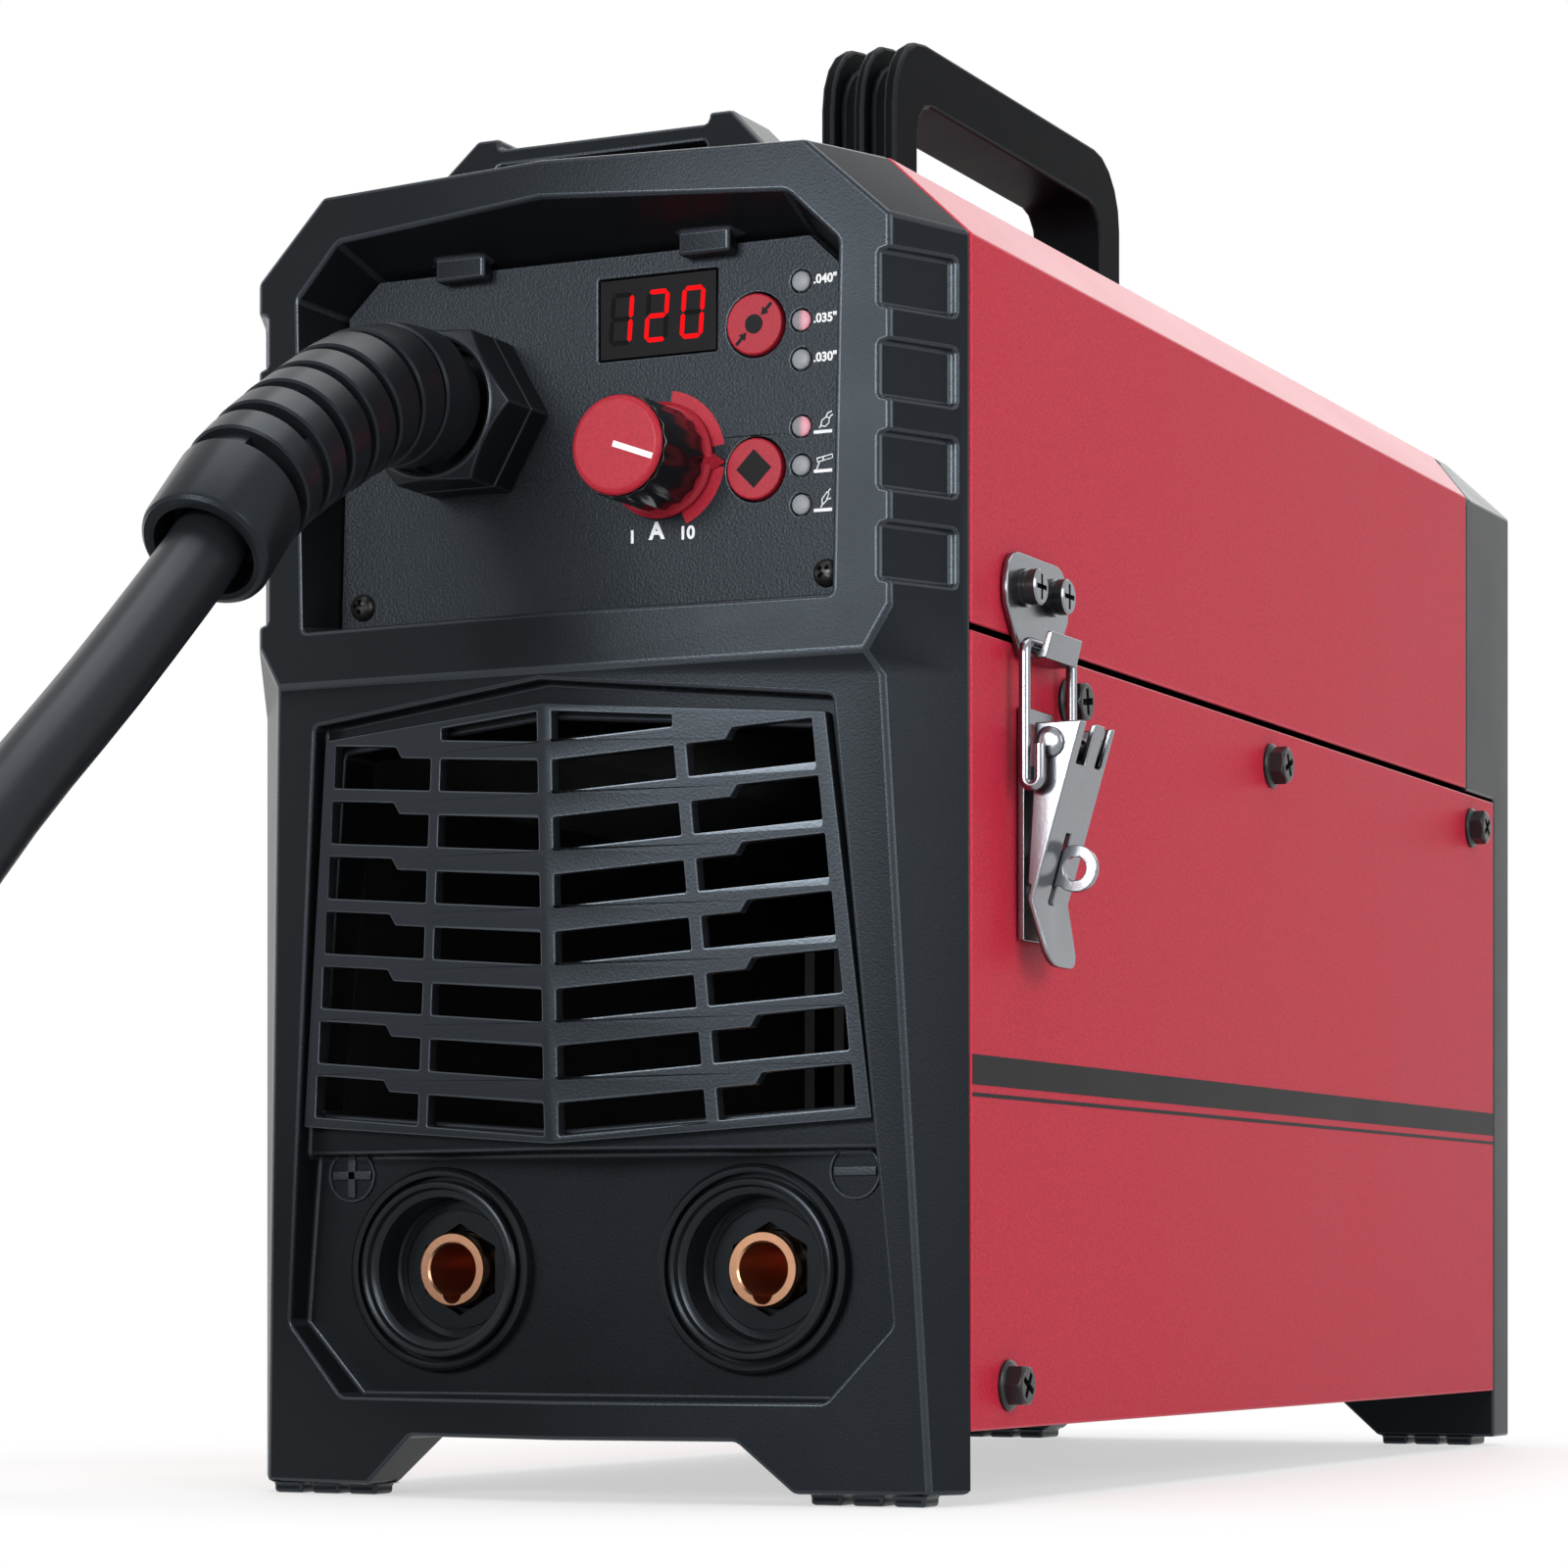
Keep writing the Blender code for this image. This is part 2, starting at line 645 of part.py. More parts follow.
def turned(name, profile, material, location, rotation=(0, 0, 0), steps=32, closed=False):
    shape = bmesh.new()
    points = [shape.verts.new((radius, 0, height)) for radius, height in profile]
    pairs = list(zip(points, points[1:]))
    if closed:
        pairs.append((points[-1], points[0]))
    for first, second in pairs:
        shape.edges.new((first, second))
    made = add_mesh(name, shape, material, location, rotation)
    screw = made.modifiers.new("turn", "SCREW")
    screw.steps = steps
    screw.render_steps = steps
    screw.use_merge_vertices = True
    screw.merge_threshold = 0.00001
    return made


def circle(a, b, radius, sides=20):
    step = 2 * math.pi / sides
    return [(a + radius * math.cos(i * step), b + radius * math.sin(i * step)) for i in range(sides)]


def arc(a, b, radius, first, last, count=5):
    turns = [math.radians(first + (last - first) * i / count) for i in range(count + 1)]
    return [(a + radius * math.cos(t), b + radius * math.sin(t)) for t in turns]


def mirrored(half):
    return half + [(-a, b) for a, b in reversed(half) if abs(a) > 1e-9]


def fill(loops, axis, start, end):
    outline = bpy.data.curves.new("outline", "CURVE")
    outline.dimensions = "2D"
    outline.fill_mode = "BOTH"
    outline.extrude = (end - start) / 2
    for loop in loops:
        spline = outline.splines.new("POLY")
        spline.points.add(len(loop) - 1)
        for point, (a, b) in zip(spline.points, loop):
            point.co = (a, b, 0, 1)
        spline.use_cyclic_u = True
    holder = bpy.data.objects.new("outline", outline)
    cutters.objects.link(holder)
    shaped = holder.evaluated_get(bpy.context.evaluated_depsgraph_get())
    mesh = bpy.data.meshes.new_from_object(shaped)
    bpy.data.objects.remove(holder)
    shape = bmesh.new()
    shape.from_mesh(mesh)
    bpy.data.meshes.remove(mesh)
    bmesh.ops.remove_doubles(shape, verts=shape.verts, dist=0.000001)
    for vert in shape.verts:
        a, b, along = vert.co
        vert.co = on_axis(axis, a, b, along + (start + end) / 2)
    bmesh.ops.recalc_face_normals(shape, faces=shape.faces)
    if shape.calc_volume(signed=True) < 0:
        bmesh.ops.reverse_faces(shape, faces=shape.faces)
    return shape


def folded(name, profile, ends, material, thickness):
    shape = bmesh.new()
    front = [shape.verts.new((x, start, z)) for (x, z), (start, end) in zip(profile, ends)]
    rear = [shape.verts.new((x, end, z)) for (x, z), (start, end) in zip(profile, ends)]
    for i in range(len(profile) - 1):
        shape.faces.new((front[i], rear[i], rear[i + 1], front[i + 1]))
    made = add_mesh(name, shape, material)
    wall = made.modifiers.new("wall", "SOLIDIFY")
    wall.thickness = thickness
    wall.offset = -1
    wall.use_even_offset = True
    return made


def tube(name, points, radius, material, location=(0, 0, 0), sides=2, radii=None):
    path = bpy.data.curves.new(name, "CURVE")
    path.dimensions = "3D"
    path.bevel_depth = radius
    path.bevel_resolution = sides
    path.use_fill_caps = True
    spline = path.splines.new("POLY")
    spline.points.add(len(points) - 1)
    for i, point in enumerate(points):
        spline.points[i].co = (*point, 1)
        if radii:
            spline.points[i].radius = radii[i]
    path.materials.append(material)
    made = bpy.data.objects.new(name, path)
    made.location = location
    made.parent = machine
    parts.objects.link(made)
    return made


def smooth_route(points, count):
    knots = [Vector(p) for p in points]
    padded = [2 * knots[0] - knots[1], *knots, 2 * knots[-1] - knots[-2]]
    route = []
    for i in range(count):
        place = (len(knots) - 1) * i / (count - 1)
        leg = min(int(place), len(knots) - 2)
        t = place - leg
        a, b, c, d = padded[leg:leg + 4]
        route.append(0.5 * (2 * b + (c - a) * t + (2 * a - 5 * b + 4 * c - d) * t ** 2
                            + (3 * b - a - 3 * c + d) * t ** 3))
    return route


# Front of the machine

def brow_y(x):
    return -PROW + BROW_RAKE * abs(x)


def lower_y(x, z):
    return -PROW + LOWER_RAKE * abs(x) + LOWER_LEAN * (BROW_Z - z)


def vee_slab(loops, front, back):
    shape = fill(loops, "Y", 0, 1)
    bmesh.ops.bisect_plane(shape, geom=shape.verts[:] + shape.edges[:] + shape.faces[:],
                           plane_co=(0, 0, 0), plane_no=(1, 0, 0), dist=0.000001)
    for vert in shape.verts:
        depth = front if vert.co.y < 0.5 else back
        vert.co.y = lower_y(vert.co.x, vert.co.z) + depth
    return shape


def bezel_half():
    shape = bmesh.new()
    top = CASE_HEIGHT
    head = CASE_HALF - HEAD_INSET
    corner = CASE_HALF - CASE_CHAMFER_X
    foot = CASE_HALF - FLARE_INSET
    shoulder = top - HEAD_DROP
    waist = CASE_HALF - WAIST_INSET
    neck = CASE_HALF - NECK_INSET

    def brow(x, z):
        return shape.verts.new((x, brow_y(x), z))

    def lower(x, z):
        return shape.verts.new((x, lower_y(x, z), z))

    def rear(x, z):
        return shape.verts.new((x, BEZEL_REAR_Y, z))

    f_top, f_a = brow(0, top), brow(corner - HEAD_TOP_INSET, top)
    f_b, f_h = brow(head, shoulder), brow(head, HEAD_LOW_Z)
    f_waist, f_keel = brow(waist, WAIST_Z), brow(0, BROW_Z)
    f_neck, f_foot = lower(neck, NECK_Z), lower(foot, FOOT_Z)
    f_in, f_arch, f_low = lower(ARCH_FOOT_HALF, FOOT_Z), lower(ARCH_HALF, ARCH_Z), lower(0, ARCH_Z)
    r_top, r_a = rear(0, top), rear(corner, top)
    r_b, r_m = rear(CASE_HALF, top - CASE_CHAMFER_Z), rear(CASE_HALF, FACET_Z)
    r_foot, r_in = rear(CASE_HALF, FOOT_Z), rear(ARCH_FOOT_HALF, FOOT_Z)
    r_arch, r_low = rear(ARCH_HALF, ARCH_Z), rear(0, ARCH_Z)
    for corners in (
            (f_top, f_a, r_a, r_top), (f_a, f_b, r_b, r_a), (f_b, f_h, r_m, r_b), (f_h, f_waist, r_m),
            (f_waist, f_neck, r_m), (f_neck, f_foot, r_foot, r_m), (f_foot, f_in, r_in, r_foot),
            (f_in, f_arch, r_arch, r_in), (f_arch, f_low, r_low, r_arch),
            (r_top, r_a, r_b, r_m, r_foot, r_in, r_arch, r_low),
            (f_top, f_keel, f_waist, f_h, f_b, f_a), (f_keel, f_neck, f_waist),
            (f_keel, f_low, f_arch, f_in, f_foot, f_neck)):
        shape.faces.new(corners)
    bmesh.ops.recalc_face_normals(shape, faces=shape.faces)
    return shape


def panel_outline(grow=0.0):
    top = CASE_HEIGHT - PANEL_TOP_DROP + grow
    return mirrored([(PANEL_LOW_HALF + grow, PANEL_LOW_Z - grow),
                     (PANEL_SHOULDER_HALF + grow, CASE_HEIGHT - PANEL_SHOULDER_DROP + grow / 2),
                     (PANEL_TOP_HALF + grow / 2, top)])


def recess_outline():
    return mirrored([(RECESS_LOW_HALF, RECESS_LOW_Z),
                     (RECESS_SHOULDER_HALF, CASE_HEIGHT - RECESS_SHOULDER_DROP),
                     (RECESS_TOP_HALF, CASE_HEIGHT - RECESS_TOP_DROP)])


def control_recess():
    shape = prism(panel_outline(GAP), "Y", -RECESS_OVERRUN * PROW, PANEL_THICK + GAP)
    mouth = recess_outline()
    seat = panel_outline(GAP)
    for vert in shape.verts:
        if vert.co.y < -PROW:
            place = Vector((vert.co.x, vert.co.z))
            nearest = min(range(len(seat)), key=lambda i: (place - Vector(seat[i])).length)
            vert.co.x += (mouth[nearest][0] - seat[nearest][0]) * RECESS_OVERRUN
            vert.co.z += (mouth[nearest][1] - seat[nearest][1]) * RECESS_OVERRUN
    return shape


def sink_outline():
    run = (SINK_SHOULDER_Z - SINK_SPLIT_Z) / (SINK_SHOULDER_Z - SINK_LOW_Z)
    side = SINK_SHOULDER_HALF + (SINK_LOW_HALF - SINK_SHOULDER_HALF) * run
    upper = mirrored([(0, SINK_SPLIT_Z), (side, SINK_SPLIT_Z),
                      (SINK_SHOULDER_HALF, SINK_SHOULDER_Z), (0, SINK_TOP_Z)])
    lower = mirrored([(SINK_CORNER_HALF, SINK_CORNER_Z), (SINK_LOW_HALF, SINK_LOW_Z), (side, SINK_SPLIT_Z)])
    return upper, lower


def grille_outline(inset=0.0):
    return mirrored([(0, GRILLE_KEEL_Z + inset), (GRILLE_LOW_HALF - inset, GRILLE_LOW_Z + inset),
                     (GRILLE_SHOULDER_HALF - inset, GRILLE_SHOULDER_Z - inset), (0, GRILLE_TOP_Z - inset)])


def grip_pockets():
    lean = math.atan2(HEAD_INSET, BEZEL_REAR_Y - brow_y(CASE_HALF - HEAD_INSET))
    front = brow_y(CASE_HALF - HEAD_INSET)
    length = (BEZEL_REAR_Y - front) / math.cos(lean)
    shapes = []
    for side in (-1, 1):
        for i in range(GRIP_COUNT):
            z = CASE_HEIGHT - GRIP_TOP_DROP - i * GRIP_PITCH
            pocket = block((-GRIP_DEPTH, 2 * GRIP_DEPTH), (-2 * GRIP_DEPTH, length - GRIP_MARGIN),
                           (z - GRIP_HEIGHT / 2, z + GRIP_HEIGHT / 2))
            spot = Matrix.Translation((side * (CASE_HALF - HEAD_INSET), front, 0))
            turn = Matrix.Rotation(-side * lean, 4, "Z")
            flip = Matrix.Diagonal((side, 1, 1, 1))
            bmesh.ops.transform(pocket, matrix=spot @ turn @ flip, verts=pocket.verts)
            bmesh.ops.recalc_face_normals(pocket, faces=pocket.faces)
            shapes.append(pocket)
    return joined(*shapes)


def hump():
    base = CASE_HEIGHT - SHEET - GAP
    top = CASE_HEIGHT + HUMP_RISE
    shape = prism(mirrored([(HUMP_HALF, base), (HUMP_TOP_HALF, top)]), "Y", HUMP_FRONT_Y, HUMP_REAR_Y)
    for vert in shape.verts:
        if vert.co.z > CASE_HEIGHT and vert.co.y < HUMP_REAR_Y - GAP:
            vert.co.y += HUMP_SLANT
    return shape


def foot_pads(front, rear):
    middle = (ARCH_FOOT_HALF + CASE_HALF - FLARE_INSET) / 2
    shapes = []
    for side in (-1, 1):
        for i in range(FOOT_PAD_COUNT):
            x = side * (middle + (i - (FOOT_PAD_COUNT - 1) / 2) * FOOT_PAD_PITCH)
            shapes.append(block((x - FOOT_PAD_WIDTH / 2, x + FOOT_PAD_WIDTH / 2), (front, rear),
                                (0, FOOT_Z + GAP)))
    return joined(*shapes)


def panel_tabs():
    top = CASE_HEIGHT - PANEL_TOP_DROP
    return joined(*[block((x - TAB_WIDTH / 2, x + TAB_WIDTH / 2), (-GAP - TAB_THICK, -GAP),
                          (top - TAB_REACH / 2, CASE_HEIGHT - RECESS_TOP_DROP + TAB_REACH / 2))
                    for x in (-TAB_X, TAB_X)])


def front_bezel():
    made = add_mesh("front_bezel", bezel_half(), black_plastic)
    mirror = made.modifiers.new("mirror", "MIRROR")
    mirror.merge_threshold = 0.00001
    unite(made, hump())
    unite(made, foot_pads(FOOT_PAD_FRONT_Y, BEZEL_REAR_Y - GAP))
    cut(made, control_recess())
    cut(made, prism(panel_outline(-PANEL_LEDGE), "Y", 0, 2 * BEZEL_REAR_Y))
    unite(made, panel_tabs())
    upper, lower = sink_outline()
    cut(made, vee_slab([upper], -PROW, GRILLE_SET + GRILLE_THICK + GAP))
    cut(made, prism(lower, "Y", -2 * PROW, SOCKET_PLATE_Y))
    cut(made, prism(grille_outline(GRILLE_LEDGE), "Y", -2 * PROW, 2 * BEZEL_REAR_Y))
    cut(made, joined(*[rod("Y", x, SOCKET_Z, -PROW, 2 * BEZEL_REAR_Y, SOCKET_BARREL + GAP, 28)
                       for x in (-SOCKET_X, SOCKET_X)]))
    cut(made, grip_pockets())
    slot_top = CASE_HEIGHT + HUMP_RISE - HUMP_BAR_DROP
    cut(made, block((-HUMP_BAR_HALF, HUMP_BAR_HALF), (0, 2 * HUMP_REAR_Y), (slot_top, slot_top + HUMP_RISE)))
    cut(made, block((-HUMP_BAR_HALF, HUMP_BAR_HALF), (0, HUMP_FRONT_Y + HUMP_SLANT + HUMP_SLOT_DEPTH),
                    (slot_top - 2 * HUMP_SLOT_HEIGHT, slot_top - HUMP_SLOT_HEIGHT)))


def grille_slots():
    loops = []
    for side in (-1, 1):
        def mullion(z):
            return MULLION_X + MULLION_LEAN * (SLOT_FIRST_Z + SLOT_HEIGHT - z)

        def rail(z):
            lift = SLOT_RISE * GRILLE_SHOULDER_HALF
            return GRILLE_SHOULDER_HALF + GRILLE_SPREAD * (GRILLE_SHOULDER_Z - z - lift) - RAIL_MARGIN

        def lifted(x, z):
            return (side * x, z + SLOT_RISE * x)

        for row in range(SLOT_ROWS):
            low = SLOT_FIRST_Z - row * SLOT_PITCH
            high = low + SLOT_HEIGHT
            shift = mullion(low) - MULLION_X
            step_x = MULLION_X + SLOT_STEP_START + shift
            loops.append([lifted(RIDGE_HALF, low), lifted(mullion(low), low),
                          lifted(mullion(high), high), lifted(RIDGE_HALF, high)])
            start_low, start_high = mullion(low) + MULLION_WIDTH, mullion(high) + MULLION_WIDTH
            loops.append([lifted(start_low, low), lifted(rail(low), low),
                          lifted(rail(high), high + SLOT_STEP),
                          lifted(step_x + SLOT_STEP_RUN, high + SLOT_STEP), lifted(step_x, high),
                          lifted(start_high, high)])
        low = GRILLE_TOP_Z - PEAK_SILL
        end = mullion(low)
        loops.append([lifted(RIDGE_HALF, low), lifted(end, low), lifted(end, low + PEAK_LOW_HEIGHT),
                      lifted(RIDGE_HALF, low + PEAK_HEIGHT)])
    return loops


def intake_grille():
    shape = vee_slab([grille_outline()] + grille_slots(), GRILLE_SET, GRILLE_SET + GRILLE_THICK)
    add_mesh("intake_grille", shape, black_plastic)


def light_heights(drop):
    middle = CASE_HEIGHT - drop
    return [middle + ((LIGHT_COUNT - 1) / 2 - i) * LIGHT_PITCH for i in range(LIGHT_COUNT)]


def window(a, b, width, height):
    return [(a - width / 2, b - height / 2), (a + width / 2, b - height / 2),
            (a + width / 2, b + height / 2), (a - width / 2, b + height / 2)]


def control_panel():
    holes = [window(DISPLAY_X, DISPLAY_Z, DISPLAY_WIDTH + 2 * GAP, DISPLAY_HEIGHT + 2 * GAP),
             circle(KNOB_X, KNOB_Z, SHAFT_RADIUS + GAP),
             circle(GLAND_X, GLAND_Z, GLAND_TUBE_RADIUS + GAP, 28)]
    for drop in (WIRE_BUTTON_DROP, MODE_BUTTON_DROP):
        holes.append(circle(BUTTON_X, CASE_HEIGHT - drop, BUTTON_RADIUS + GAP, 24))
        holes += [circle(LIGHT_X, z, LIGHT_RADIUS + GAP, 12) for z in light_heights(drop)]
    add_mesh("control_panel", fill([panel_outline()] + holes, "Y", 0, PANEL_THICK), panel_grey)


def display_module():
    wide, tall = DISPLAY_WIDTH / 2, DISPLAY_HEIGHT / 2
    shape = block((DISPLAY_X - wide, DISPLAY_X + wide), (GAP, BOARD_Y - GAP),
                  (DISPLAY_Z - tall, DISPLAY_Z + tall))
    add_mesh("display_module", shape, dark_glass)


def light_pipe(name, drop):
    heights = light_heights(drop)
    bar = block((LIGHT_X - LIGHT_RADIUS, LIGHT_X + LIGHT_RADIUS), (PANEL_THICK + GAP, BOARD_Y - GAP),
                (heights[-1] - LIGHT_BAR_MARGIN, heights[0] + LIGHT_BAR_MARGIN))
    made = add_mesh(name, bar, frosted_lens)
    unite(made, joined(*[rod("Y", LIGHT_X, z, 0, PANEL_THICK + 2 * GAP, LIGHT_RADIUS, 12) for z in heights]))


def push_button(name, drop):
    shape = rod("Y", 0, 0, -BUTTON_PROUD, PANEL_THICK - GAP, BUTTON_RADIUS, 24)
    made = add_mesh(name, shape, red_plastic, (BUTTON_X, 0, CASE_HEIGHT - drop), smooth=40)
    stem_end = BOARD_Y - GAP - BUTTON_TRAVEL
    unite(made, rod("Y", 0, 0, 0, stem_end, BUTTON_RADIUS / 2, 12))


def knob():
    place = (KNOB_X, 0, KNOB_Z)
    flutes = 2 * KNOB_FLUTES
    ring = [(r * math.cos(t), r * math.sin(t)) for r, t in
            [(KNOB_RADIUS - KNOB_FLUTE_DEPTH * (i % 2), 2 * math.pi * i / flutes) for i in range(flutes)]]
    back = -GAP - SKIRT_THICK - GAP
    front = -KNOB_LENGTH + KNOB_CAP_THICK + GAP
    body = add_mesh("knob_body", prism(ring, "Y", front, back), black_plastic, place)
    cut(body, rod("Y", 0, 0, front + 2 * KNOB_CAP_THICK, GAP, SHAFT_RADIUS + GAP))
    cap_back = KNOB_LENGTH - KNOB_CAP_THICK
    cap = [(0, KNOB_LENGTH), (KNOB_CAP_RADIUS - KNOB_CAP_THICK / 2, KNOB_LENGTH),
           (KNOB_CAP_RADIUS, KNOB_LENGTH - KNOB_CAP_THICK / 2), (KNOB_CAP_RADIUS, cap_back), (0, cap_back)]
    turned("knob_cap", cap, red_plastic, place, TURN_FRONT)
    angle = math.radians(-POINTER_ANGLE)
    start = POINTER_SPREAD_ANGLE - POINTER_ANGLE
    rim = arc(0, 0, SKIRT_RADIUS, start, start + 360 - 2 * POINTER_SPREAD_ANGLE, 28)
    rim.append((POINTER_REACH * math.cos(angle), POINTER_REACH * math.sin(angle)))
    skirt = fill([rim, circle(0, 0, SHAFT_RADIUS + GAP, 16)], "Y", -GAP - SKIRT_THICK, -GAP)
    add_mesh("knob_skirt", skirt, red_plastic, place)
    shaft_front = KNOB_LENGTH - 3 * KNOB_CAP_THICK - 2 * GAP
    behind, board = -PANEL_THICK - GAP, GAP - BOARD_Y
    profile = [(0, shaft_front), (SHAFT_RADIUS, shaft_front), (SHAFT_RADIUS, behind),
               (POT_RADIUS, behind), (POT_RADIUS, board), (0, board)]
    turned("potentiometer", profile, dull_steel, place, TURN_FRONT, 20)


def control_board():
    outline = panel_outline(-BOARD_MARGIN)
    hole = circle(GLAND_X, GLAND_Z, GLAND_TUBE_RADIUS + 2 * RUN, 24)
    add_mesh("control_board", fill([outline, hole], "Y", BOARD_Y, BOARD_Y + BOARD_THICK), board_green)


def output_socket(name, x):
    front = -SOCKET_PLATE_Y + SOCKET_PROUD
    step = SOCKET_RADIUS - SOCKET_BARREL
    body = [(SOCKET_WELL, front), (SOCKET_RADIUS - step / 3, front), (SOCKET_RADIUS, front - step / 3),
            (SOCKET_RADIUS, -SOCKET_PLATE_Y + GAP), (SOCKET_BARREL, -SOCKET_PLATE_Y + GAP),
            (SOCKET_BARREL, -SOCKET_REAR_Y), (CONTACT_RADIUS + GAP, -SOCKET_REAR_Y),
            (CONTACT_RADIUS + GAP, -SOCKET_WELL_Y), (SOCKET_WELL, -SOCKET_WELL_Y)]
    turned("socket_" + name, body, black_plastic, (x, 0, SOCKET_Z), TURN_FRONT, 36, closed=True)
    floor = -CONTACT_FRONT_Y - CONTACT_BORE_DEPTH
    contact = [(0, floor), (CONTACT_BORE, floor), (CONTACT_BORE, -CONTACT_FRONT_Y),
               (CONTACT_RADIUS, -CONTACT_FRONT_Y), (CONTACT_RADIUS, -CONTACT_REAR_Y), (0, -CONTACT_REAR_Y)]
    turned("contact_" + name, contact, copper, (x, 0, SOCKET_Z), TURN_FRONT, 16)


def hexagon(a, b, radius):
    return circle(a, b, radius, 6)


def torch_gland():
    flange = prism(hexagon(GLAND_X, GLAND_Z, GLAND_FLAT_RADIUS), "Y", -GAP - GLAND_FLANGE_THICK, -GAP)
    made = add_mesh("torch_gland", flange, black_plastic)
    tube_end = BOARD_Y + BOARD_THICK + GLAND_TUBE_TAIL
    unite(made, rod("Y", GLAND_X, GLAND_Z, -GLAND_FLANGE_THICK, tube_end, GLAND_TUBE_RADIUS, 28))
    unite(made, rod("Y", GLAND_X, GLAND_Z, BOARD_Y, GUIDE_REAR_Y, GUIDE_RADIUS, 16))
    front = -2 * GAP - GLAND_FLANGE_THICK - GLAND_NUT_THICK
    nut = prism(hexagon(GLAND_X, GLAND_Z, GLAND_NUT_RADIUS), "Y", front, front + GLAND_NUT_THICK)
    taper = GLAND_NUT_FACE / GLAND_NUT_RADIUS
    for vert in nut.verts:
        if vert.co.y < front + GAP:
            vert.co.x = GLAND_X + (vert.co.x - GLAND_X) * taper
            vert.co.z = GLAND_Z + (vert.co.z - GLAND_Z) * taper
    add_mesh("gland_nut", nut, black_plastic)


# Case

def case_profile(bottom, inset=0.0):
    half, top = CASE_HALF - inset, CASE_HEIGHT - inset
    return [(half, bottom), (half, CASE_HEIGHT - CASE_CHAMFER_Z - inset / 2),
            (CASE_HALF - CASE_CHAMFER_X - inset / 2, top), (-CASE_HALF + CASE_CHAMFER_X + inset / 2, top),
            (-half, CASE_HEIGHT - CASE_CHAMFER_Z - inset / 2), (-half, bottom)]


def lid_shell():
    side, top = (FRONT_START_Y, LID_SIDE_REAR_Y), (FRONT_START_Y, LID_TOP_REAR_Y)
    ends = [side, side, top, top, side, side]
    made = folded("lid_shell", case_profile(LID_LOW_Z), ends, red_paint, SHEET)
    notch = HUMP_HALF + 2 * GAP
    cut(made, block((-notch, notch), (0, HUMP_REAR_Y + GAP), (CASE_HEIGHT - 3 * SHEET, CASE_HEIGHT + SHEET)))


def side_panel(name, side):
    outer = CASE_HALF * side
    inner = (CASE_HALF - SHEET) * side
    shape = block(sorted((inner, outer)), (FRONT_START_Y, PANEL_REAR_Y), (PANEL_BOTTOM_Z, PANEL_TOP_Z))
    add_mesh(name, shape, red_paint)


def base_tray():
    half = CASE_HALF - SHEET - GAP
    floor = PANEL_BOTTOM_Z
    profile = [(-half, floor + FLANGE), (-half, floor), (half, floor), (half, floor + FLANGE)]
    folded("base_tray", profile, [(FRONT_START_Y, PANEL_REAR_Y)] * 4, dull_steel, SHEET)


def mid_deck():
    half = CASE_HALF - SHEET - GAP
    profile = [(half, DECK_Z - FLANGE), (half, DECK_Z), (-half, DECK_Z), (-half, DECK_Z - FLANGE)]
    folded("mid_deck", profile, [(FRONT_START_Y, REAR_PLATE_Y - GAP)] * 4, dull_steel, SHEET)


def handle_outline(inset):
    base = CASE_HEIGHT + GAP
    top = CASE_HEIGHT + HANDLE_RISE - inset
    front, rear = HANDLE_FRONT_Y + inset, HANDLE_REAR_Y - inset
    inner_front, inner_rear = HANDLE_FRONT_Y + HANDLE_LEG, HANDLE_REAR_Y - HANDLE_LEG
    under = CASE_HEIGHT + HANDLE_RISE - HANDLE_BAR
    corner = HANDLE_CORNER - inset
    inner = HANDLE_INNER_CORNER
    return ([(front, base)] + arc(front + corner, top - corner, corner, 180, 90)
            + arc(rear - corner, top - corner, corner, 90, 0) + [(rear, base), (inner_rear, base)]
            + arc(inner_rear - inner, under - inner, inner, 0, 90, 3)
            + arc(inner_front + inner, under - inner, inner, 90, 180, 3) + [(inner_front, base)])


def carry_handle():
    half = HANDLE_WIDTH / 2
    core = prism(handle_outline(HANDLE_GROOVE_DEPTH), "X", -half, half)
    made = add_mesh("carry_handle", core, black_plastic)
    rib = HANDLE_RIB / 2
    flange = rib + HANDLE_GROOVE
    for start, end in ((-half, -flange), (-rib, rib), (flange, half)):
        unite(made, prism(handle_outline(0), "X", start, end))


def hinge_segments(first):
    pitch = (HINGE_REAR_Y - HINGE_FRONT_Y) / HINGE_KNUCKLES
    return [(HINGE_FRONT_Y + i * pitch + GAP / 2, HINGE_FRONT_Y + (i + 1) * pitch - GAP / 2)
            for i in range(first, HINGE_KNUCKLES, 2)]


def hinge_leaf(name, first, direction, material):
    axis_x = -HINGE_OFFSET
    near = KNUCKLE_RADIUS + GAP
    plate = sorted((direction * near, direction * (near + LEAF_HEIGHT)))
    x = (-GAP - LEAF_THICK - axis_x, -GAP - axis_x)
    leaf = block(x, (HINGE_FRONT_Y, HINGE_REAR_Y), plate)
    made = add_mesh(name, leaf, material, (-CASE_HALF + axis_x, 0, SPLIT_Z))
    tongue = sorted((0, direction * (near + LEAF_THICK)))
    segments = hinge_segments(first)
    unite(made, joined(*[block(x, (start, end), tongue) for start, end in segments]))
    unite(made, joined(*[rod("Y", 0, 0, start, end, KNUCKLE_RADIUS, 12) for start, end in segments]))
    cut(made, rod("Y", 0, 0, 0, 2 * HINGE_REAR_Y, HINGE_PIN_RADIUS + GAP, 12))


def hinge():
    hinge_leaf("hinge_leaf_case", 0, -1, dull_steel)
    hinge_leaf("hinge_leaf_lid", 1, 1, dull_steel)
    pin = rod("Y", 0, 0, HINGE_FRONT_Y, HINGE_REAR_Y, HINGE_PIN_RADIUS, 12)
    add_mesh("hinge_pin", pin, bright_steel, (-CASE_HALF - HINGE_OFFSET, 0, SPLIT_Z))


# Draw latch, with distances out from the case's right side

